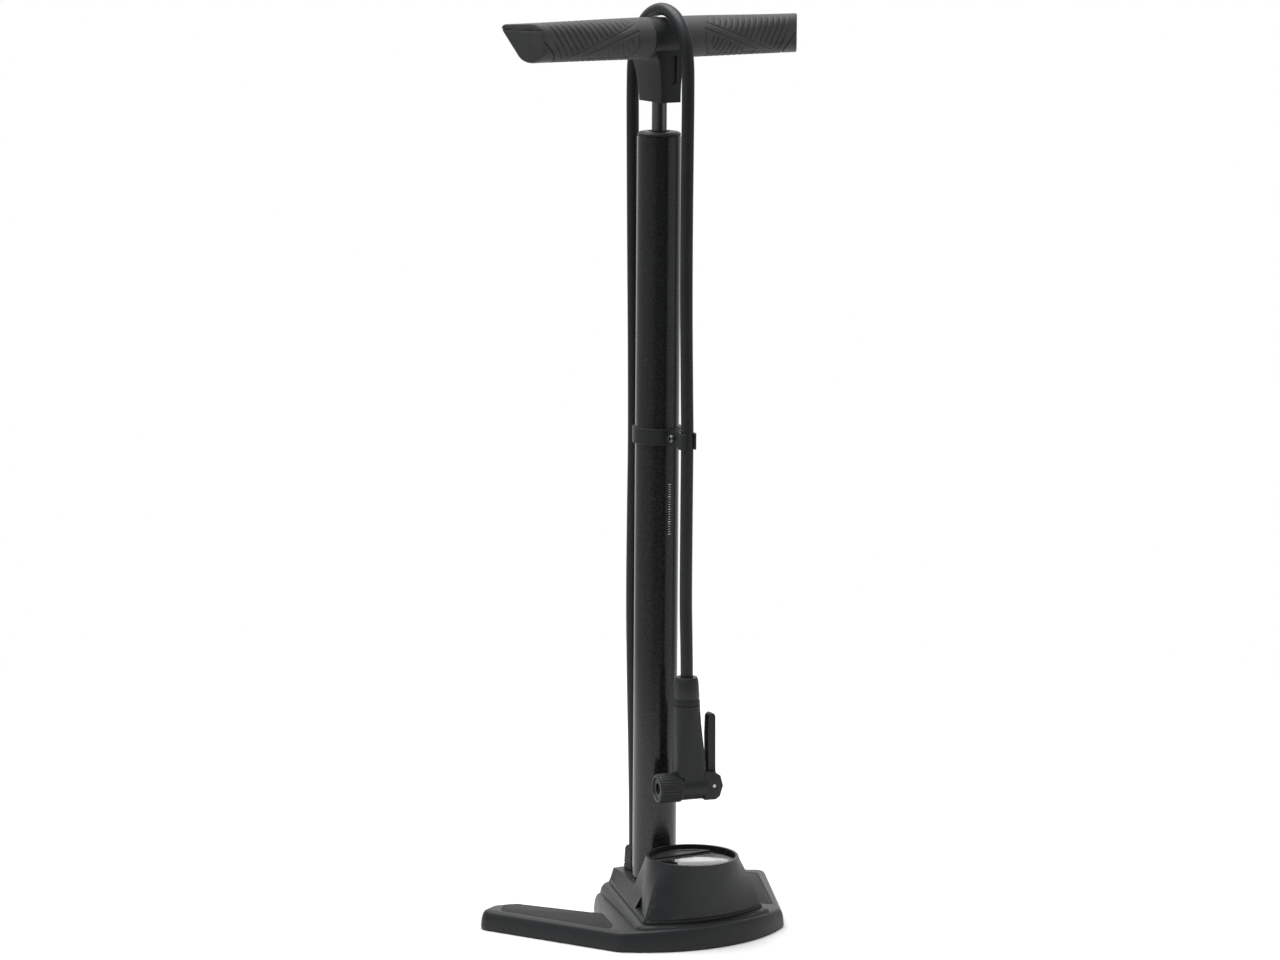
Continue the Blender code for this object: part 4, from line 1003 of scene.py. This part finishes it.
def build_grips():
    spans = GRIP_SIDES
    start = HUB_HALF + GAP
    shares = [0.0, 0.002, 0.006] + [0.012 + i * 0.988 / 236 for i in range(237)]
    for side, name in ((1, "right"), (-1, "left")):
        rings = []
        for share in shares:
            section = even_section(grip_circles(min(share, 1.0)), spans)
            rings.append([Vector((start + (grip_end(p.x, CAP_THICK - 0.0016) - start) * share,
                                  p.x, p.y)) for p in section])
        last = even_section(grip_circles(1.0), spans)
        middle = sum(last, Vector((0, 0))) / spans
        for drop, shrink in CAP_FACE:
            rings.append([Vector((grip_end(q.x, CAP_THICK - drop), q.x, q.y))
                          for q in [middle + (p - middle) * shrink for p in last]])
        body_count = len(shares)
        moved = []
        for at, points in enumerate(rings):
            row = []
            for i, p in enumerate(points):
                tangent = points[(i + 1) % spans] - points[i - 1]
                normal = Vector((0, tangent.z, -tangent.y)).normalized()
                gap = 0.0015 * valley(cap_side(p.x, p.y, p.z), 0.0007)
                if at < body_count:
                    front = p.y < AXIS_Y + 0.002
                    deep = grip_depth(p.x, p.z, front) if p.x < 0.116 else 0.0
                    row.append(p - normal * (deep + gap))
                else:
                    row.append(p - Vector((1, 0, 0)) * gap)
            moved.append(row)
        for kind in ("grip", "cap"):
            shape = bmesh.new()
            loops = [[shape.verts.new((side * p.x, p.y, AXIS_Z + p.z)) for p in row]
                     for row in moved]
            for low, high, plain in zip(loops, loops[1:], rings):
                for i in range(spans):
                    j = (i + 1) % spans
                    on_cap = cap_side(plain[i].x, plain[i].y, plain[i].z) > 0
                    if on_cap == (kind == "cap"):
                        quad = (low[i], low[j], high[j], high[i])
                        shape.faces.new(quad if side > 0 else quad[::-1])
            if kind == "cap":
                shape.faces.new(loops[-1] if side > 0 else loops[-1][::-1])
            bmesh.ops.delete(shape, geom=[v for v in shape.verts if not v.link_faces],
                             context="VERTS")
            bmesh.ops.recalc_face_normals(shape, faces=shape.faces)
            lean = sum(face.normal.x * face.calc_area() for face in shape.faces
                       if face.calc_center_median().x * side > 0.1)
            if lean * side < 0:
                bmesh.ops.reverse_faces(shape, faces=shape.faces)
            if kind == "grip":
                piece(f"grip_skin_{name}", shape, "grip_rubber", [f"grip_{name}"], sharp=60,
                      solid=False)
            else:
                # The end caps take the lighter copy of moulded plastic, which is painted light.
                piece(f"cap_end_{name}", shape, "moulded_plastic", [f"end_cap_{name}"], sharp=60,
                      look=LIT_CAP_PLASTIC, solid=False)


def build_hub():
    rings = []
    for z, x, front, rear in smooth_levels(HUB_LEVELS, 5):
        corners = [(-x, -front, 0.0013, 2), (x, -front, 0.0013, 2), (x, rear, 0.003, 2),
                   (-x, rear, 0.003, 2)]
        rings.append([(a, b, z) for a, b in rounded(corners, 0.0, 3)])
    hub = piece("hub_skin", rings_to_shape(rings), "moulded_plastic", ["handle_hub"],
                bevel=0.0005, segments=3, sharp=30)
    join(hub, turned([(HUB_R - 0.0005, -HUB_HALF), (HUB_R, -HUB_HALF + 0.0005),
                      (HUB_R, HUB_HALF - 0.0005), (HUB_R - 0.0005, HUB_HALF)], 128, "X", False,
                     (0, AXIS_Y, AXIS_Z)))
    cut(hub, cylinder(CORE_R + GAP, -0.03, 0.03, 72, "X", (0, AXIS_Y, AXIS_Z)),
        cylinder(ROD_R + GAP, 0.65, AXIS_Z, 72), cylinder(0.0054, 0.7225, 0.74, 48),
        cylinder(0.0032, 0.70, 0.74, 24))
    recess = arc((0.0012, 0.6790), 0.0032, pi, 2 * pi, 24) + [(0.0044, 0.6985), (-0.0020, 0.6985)]
    cut(hub, rings_to_shape([[(x, y, z) for x, z in recess] for y in (-0.030, -0.0166)]))
    bolt = piece("hub_bolt", turned([(0.0028, 0.6900), (0.0028, 0.7228), (0.0050, 0.7228),
                                     (0.0050, 0.7260), (0.0044, 0.7268)], 48), "dark_steel",
                 ["handle_bolt"], bevel=0.0002)
    cut(bolt, cylinder(0.0024, 0.7245, 0.74, 6))


# ---------------------------------------------------------------- clip
def build_clip():
    inner, outer, jaw_in, jaw_out = BARREL_R + GAP, BARREL_R + 0.0022, HOSE_R + GAP, 0.0072
    slit, ear, mouth = 0.0009, 0.0034, radians(38)
    hose_at, screw_at = (0.0, CLIP_HOSE_Y), (0, CLIP_SCREW_Y, CLIP_Z)
    half = arc((0, 0), outer, radians(90), atan2(-(outer ** 2 - ear ** 2) ** 0.5, ear), 64)
    half += arc(hose_at, jaw_out, atan2((jaw_out ** 2 - ear ** 2) ** 0.5, ear), -pi / 2 + mouth, 28)
    half += arc(hose_at, jaw_in, -pi / 2 + mouth, atan2((jaw_in ** 2 - slit ** 2) ** 0.5, slit), 28)
    half += arc((0, 0), inner, atan2(-(inner ** 2 - slit ** 2) ** 0.5, slit), radians(90), 64)
    shape = bmesh.new()
    for sign in (1, -1):
        low, high = [[shape.verts.new((sign * x, y, z)) for x, y in half]
                     for z in (CLIP_Z - CLIP_HEIGHT / 2, CLIP_Z + CLIP_HEIGHT / 2)]
        for i in range(len(half) - 1):
            shape.faces.new((low[i], low[i + 1], high[i + 1], high[i]))
        shape.faces.new(low)
        shape.faces.new(high)
    bmesh.ops.remove_doubles(shape, verts=shape.verts, dist=0.000001)
    clip = piece("clip_skin", shape, "moulded_plastic", ["hose_clip"], bevel=0.0005, segments=3,
                 sharp=35)
    cut(clip, cylinder(0.0019, -0.02, 0.02, 36, "X", screw_at))
    screw = piece("clip_bolt", turned([(0.0026, -0.0063), (0.0031, -0.0058), (0.0033, -0.0050),
                                       (0.0033, -0.0037), (0.0015, -0.0037), (0.0015, 0.0066)],
                                      48, "X", False, screw_at), "dark_steel",
                  ["clip_screw"])
    cut(screw, cylinder(0.0015, -0.0080, -0.0048, 6, "X", screw_at))


# ---------------------------------------------------------------- head
def squared(value, power):
    """Pushes a sine or cosine out towards -1 or 1, which squares up a round section."""
    return abs(value) ** power * (1 if value > 0 else -1)


def build_head():
    place = {"origin": (0, HEAD_Y, 0), "turn": HEAD_TURN}

    def along(profile, sides=72, closed=False):
        return turned(profile, sides, "X", closed, (0, 0, CHUCK_Z))

    def rod(radius, low, high, sides=64):
        return along([(radius, low), (radius, high)], sides)

    made = []
    collar = piece("collar_skin", turned([
        (0.0102, 0.1865), (0.0107, 0.1870), (0.0105, 0.1905), (0.0100, 0.1912), (0.0100, 0.1922),
        (0.0103, 0.1929), (0.0094, 0.2050), (0.0090, 0.2072), (0.0082, 0.2088),
        (HOSE_R + GAP, 0.2088), (HOSE_R + GAP, 0.2000)], 96), "moulded_plastic", ["head_collar"],
        sharp=45, **place)
    cut(collar, cylinder(0.0025, 0.18, 0.21, 24), **place)
    made.append(collar)
    stem = []
    levels = smooth_levels([
        (STEM_TOP, -0.0107, 0.0107, 0.0107), (0.170, -0.0104, 0.0118, 0.0104),
        (0.150, -0.0101, 0.0138, 0.0098), (0.134, -0.0100, 0.0155, 0.0094),
        (CHUCK_Z, -0.0100, 0.0160, 0.0094)], 6)
    angles = around(96, 0.5)
    for z, low_x, high_x, half_y in levels:
        power = 1 - 0.48 * step((STEM_TOP - z) / (STEM_TOP - CHUCK_Z), 0.0, 0.8)
        middle, half_x = (low_x + high_x) / 2, (high_x - low_x) / 2
        stem.append([(middle + half_x * squared(cos(a), power), half_y * squared(sin(a), power), z)
                     for a in angles])
    body = piece("head_skin", rings_to_shape(stem), "moulded_plastic", ["head_body"],
                 bevel=0.0005, segments=3, sharp=30, **place)
    cut(body, rod(0.0124, -0.0300, -0.0048, 96), **place)
    join(body, along([(0.0104, -0.0052), (0.0107, -0.0040), (0.0107, 0.0150)], 96), **place)
    tip = [(0.0130, -0.0104), (0.0225, -0.0104), (0.0258, -0.0080), (0.0284, 0.0005),
           (0.0262, 0.0085), (0.0225, 0.0112), (0.0130, 0.0128)]
    join(body, rings_to_shape([[(x, y, CHUCK_Z + z) for x, z in tip] for y in (-0.0086, 0.0086)]),
         **place)
    join(body, rod(0.0082, -0.0160, -0.0030), **place)
    cut(body, rod(0.0066, -0.0200, 0.0125), rod(0.0023, 0.0, 0.0200, 32),
        box((0.0150, -0.0044, 0.1128), (0.0400, 0.0044, 0.1420)),
        cylinder(0.0024, 0.1200, 0.20, 24),
        cylinder(0.0018, -0.02, 0.02, 36, "Y", (LEVER_PIVOT[0], 0, LEVER_PIVOT[1])), **place)
    made.append(body)

    angles = around(NUT_RIBS * 8)
    profile = [(-0.0252, 0.0098, 0.0), (-0.0250, 0.0104, 0.0), (-0.0244, 0.0112, 0.3),
               (-0.0236, 0.0117, 1.0), (-0.0150, 0.0119, 1.0), (-0.0070, 0.0119, 1.0),
               (-0.0062, 0.0117, 0.3), (-0.0055, 0.0112, 0.0)]
    profile += [(x, radius, 0.0) for x, radius in (
        (-0.0055, 0.0085), (-0.0166, 0.0085), (-0.0166, 0.0064), (-0.0225, 0.0064),
        (-0.0225, MOUTH_R), (-0.0240, MOUTH_R), (-0.0240, 0.0084), (-0.0252, 0.0090))]
    nut_rings = []
    for x, radius, deep in profile:
        reaches = [radius - 0.0005 * deep * max(0.0, cos(NUT_RIBS * a)) for a in angles]
        nut_rings.append([(x, r * sin(a), CHUCK_Z + r * cos(a)) for r, a in zip(reaches, angles)])
    made.append(piece("nut_skin", rings_to_shape(nut_rings, closed=True), "moulded_plastic",
                      ["chuck_nut"], sharp=40, **place))
    made.append(piece("gasket_skin", along([
        (0.0061, -0.0221), (0.0061, -0.0120), (0.0038, -0.0120), (0.0038, -0.0215),
        (0.0043, -0.0221)], 72, True), "black_rubber", ["chuck_gasket"], sharp=40, **place))
    made.append(piece("plunger_skin", along([
        (0.0007, -0.0171), (0.0010, -0.0167), (0.0010, -0.0087), (0.0062, -0.0087),
        (0.0062, -0.0040), (0.0019, -0.0030), (0.0019, 0.0152)], 48), "bright_steel",
        ["head_plunger"], **place))
    pivot_x, pivot_z = LEVER_PIVOT
    outline = arc((pivot_x, pivot_z), 0.0050, pi, 2 * pi, 32)
    outline += [(pivot_x + 0.0030, 0.1330), (pivot_x + 0.0026, 0.1740)]
    outline += arc((pivot_x - 0.0008, 0.1752), 0.0034, 0.0, pi, 24)
    outline += [(pivot_x - 0.0046, 0.1600), (pivot_x - 0.0042, 0.1400), (pivot_x - 0.0046, 0.1290)]
    rings = []
    for y, grow in ((-0.0040, -0.0007), (-0.0036, -0.0002), (-0.0030, 0.0), (0.0, 0.0002),
                    (0.0030, 0.0), (0.0036, -0.0002), (0.0040, -0.0007)):
        rings.append([(x + (grow if x > pivot_x - 0.0006 else -grow), y, z) for x, z in outline])
    lever = piece("lever_skin", rings_to_shape(rings), "moulded_plastic", ["head_lever"], sharp=35,
                  bevel=0.0003, **place)
    cut(lever, cylinder(0.0018, -0.02, 0.02, 36, "Y", (pivot_x, 0, pivot_z)), **place)
    made.append(lever)
    made.append(piece("pin_skin", turned([(0.0011, -0.0090), (0.0015, -0.0087), (0.0015, 0.0087),
                                          (0.0011, 0.0090)], 40, "Y", False, (pivot_x, 0, pivot_z)),
                      "bright_steel", ["lever_pin"], **place))
    return made


build_foot()
build_cover()
build_treads()
build_boot()
build_gauge()
build_barrel()
build_grips()
build_hub()
build_clip()
head_pieces = build_head()
settle()
raise_rim(bpy.data.objects["foot_shell"])

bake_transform(hose)

# Carried-over CAD nodes and their finishes
KEPT = {
    "black_rubber": ["foot_pad_centre", "foot_pad_right", "foot_pad_left", "foot_pad_front_right",
                     "foot_pad_front_left", "top_bumper", "piston_seal"],
    "dark_steel": ["base_screw_1", "base_screw_2", "base_screw_3", "base_screw_4", "coin_cell",
                   "button_switch", "pressure_sensor", "check_valve_spring", "piston_bolt",
                   "handle_core", "clip_nut"],
    "moulded_plastic": ["battery_door", "check_valve_body", "piston"],
    "bright_steel": ["check_valve_ball"],
    "brass": ["hose_barb"],
    "circuit_board": ["circuit_board"],
}
for slot_name, node_names in KEPT.items():
    for node_name in node_names:
        node = frame["nodes"][node_name]
        node.data.materials.clear()
        node.data.materials.append(LOOKS[slot_name])


# ---------------------------------------------------------------- studio
# Angle round the object from the camera's side, in degrees to its right, and brightness there
SKY_STOPS = [(-180, 1.5), (-150, 1.1), (-130, 0.5), (-70, 0.42), (-30, 0.30), (-8, 0.10),
             (40, 0.10), (56, 0.55), (92, 0.6), (99, 0.10), (108, 0.10), (118, 0.5), (150, 1.1),
             (180, 1.5)]
SKY_TOP = 0.9
SKY_STRENGTH = 4.0


def build_floor():
    shape = bmesh.new()
    bmesh.ops.create_circle(shape, cap_ends=True, segments=128, radius=1.15)
    floor = linked("floor", mesh_of("floor", shape))
    n = Look("floor_paint")
    floor.data.materials.append(n.dress({
        "Base Color": n.mix(n.patches(3.0), (0.86, 0.86, 0.86, 1), (0.88, 0.88, 0.88, 1)),
        "Roughness": 0.9, "Specular IOR Level": 0.2}))


def sky_grey(level):
    return (level / SKY_STRENGTH,) * 3 + (1,)


def build_sky():
    """White to the camera. To the object: bright behind, softer at the sides, dark in front."""
    world = bpy.data.worlds.new("studio")
    bpy.context.scene.world = world
    world.use_nodes = True
    n = Nodes(world.node_tree)
    n.tree.nodes.clear()
    turn = n.add("VectorRotate", {"Vector": n.add("TexCoord").outputs["Generated"],
                                  "Angle": -CAMERA_AZIMUTH}, rotation_type="Z_AXIS")
    toward = n.add("SeparateXYZ", {0: turn.outputs[0]}).outputs
    bearing = n.math("ARCTAN2", toward["X"], n.math("MULTIPLY", toward["Y"], -1.0))
    ramp = n.add("ValToRGB", {"Fac": n.span(bearing, 0.0, 1.0, -pi, pi)})
    stops = ramp.color_ramp.elements
    for i, (angle, level) in enumerate(SKY_STOPS):
        place = (angle + 180) / 360
        stop = stops[i] if i < 2 else stops.new(place)
        stop.position = place
        stop.color = sky_grey(level)
    high = n.add("MapRange", {"Value": toward["Z"], "From Min": 0.45, "From Max": 0.80},
                 interpolation_type="SMOOTHSTEP").outputs[0]
    lit = n.mix(high, ramp.outputs["Color"], sky_grey(SKY_TOP))
    camera_ray = n.add("LightPath").outputs["Is Camera Ray"]
    chosen = n.add("MixShader", {
        0: camera_ray, 1: n.add("Background", {"Color": lit, "Strength": SKY_STRENGTH}).outputs[0],
        2: n.add("Background", {"Color": (1, 1, 1, 1), "Strength": 1.0}).outputs[0]})
    n.add("OutputWorld", {"Surface": chosen.outputs[0]})


def build_light(name, place, aim, size, power):
    lamp = bpy.data.lights.new(name, "AREA")
    lamp.shape = "RECTANGLE"
    lamp.size, lamp.size_y = size
    lamp.energy = power
    obj = linked(name, lamp)
    obj.location = place
    obj.rotation_euler = (Vector(aim) - Vector(place)).to_track_quat("-Z", "Y").to_euler()


build_floor()
build_sky()
build_light("top_box", (-0.3, 0.4, 2.2), (0, 0, 0.1), (1.6, 1.6), 46)

scene = bpy.context.scene
scene.view_settings.view_transform = "Standard"
scene.view_settings.look = "None"
scene.view_settings.exposure = 0.0
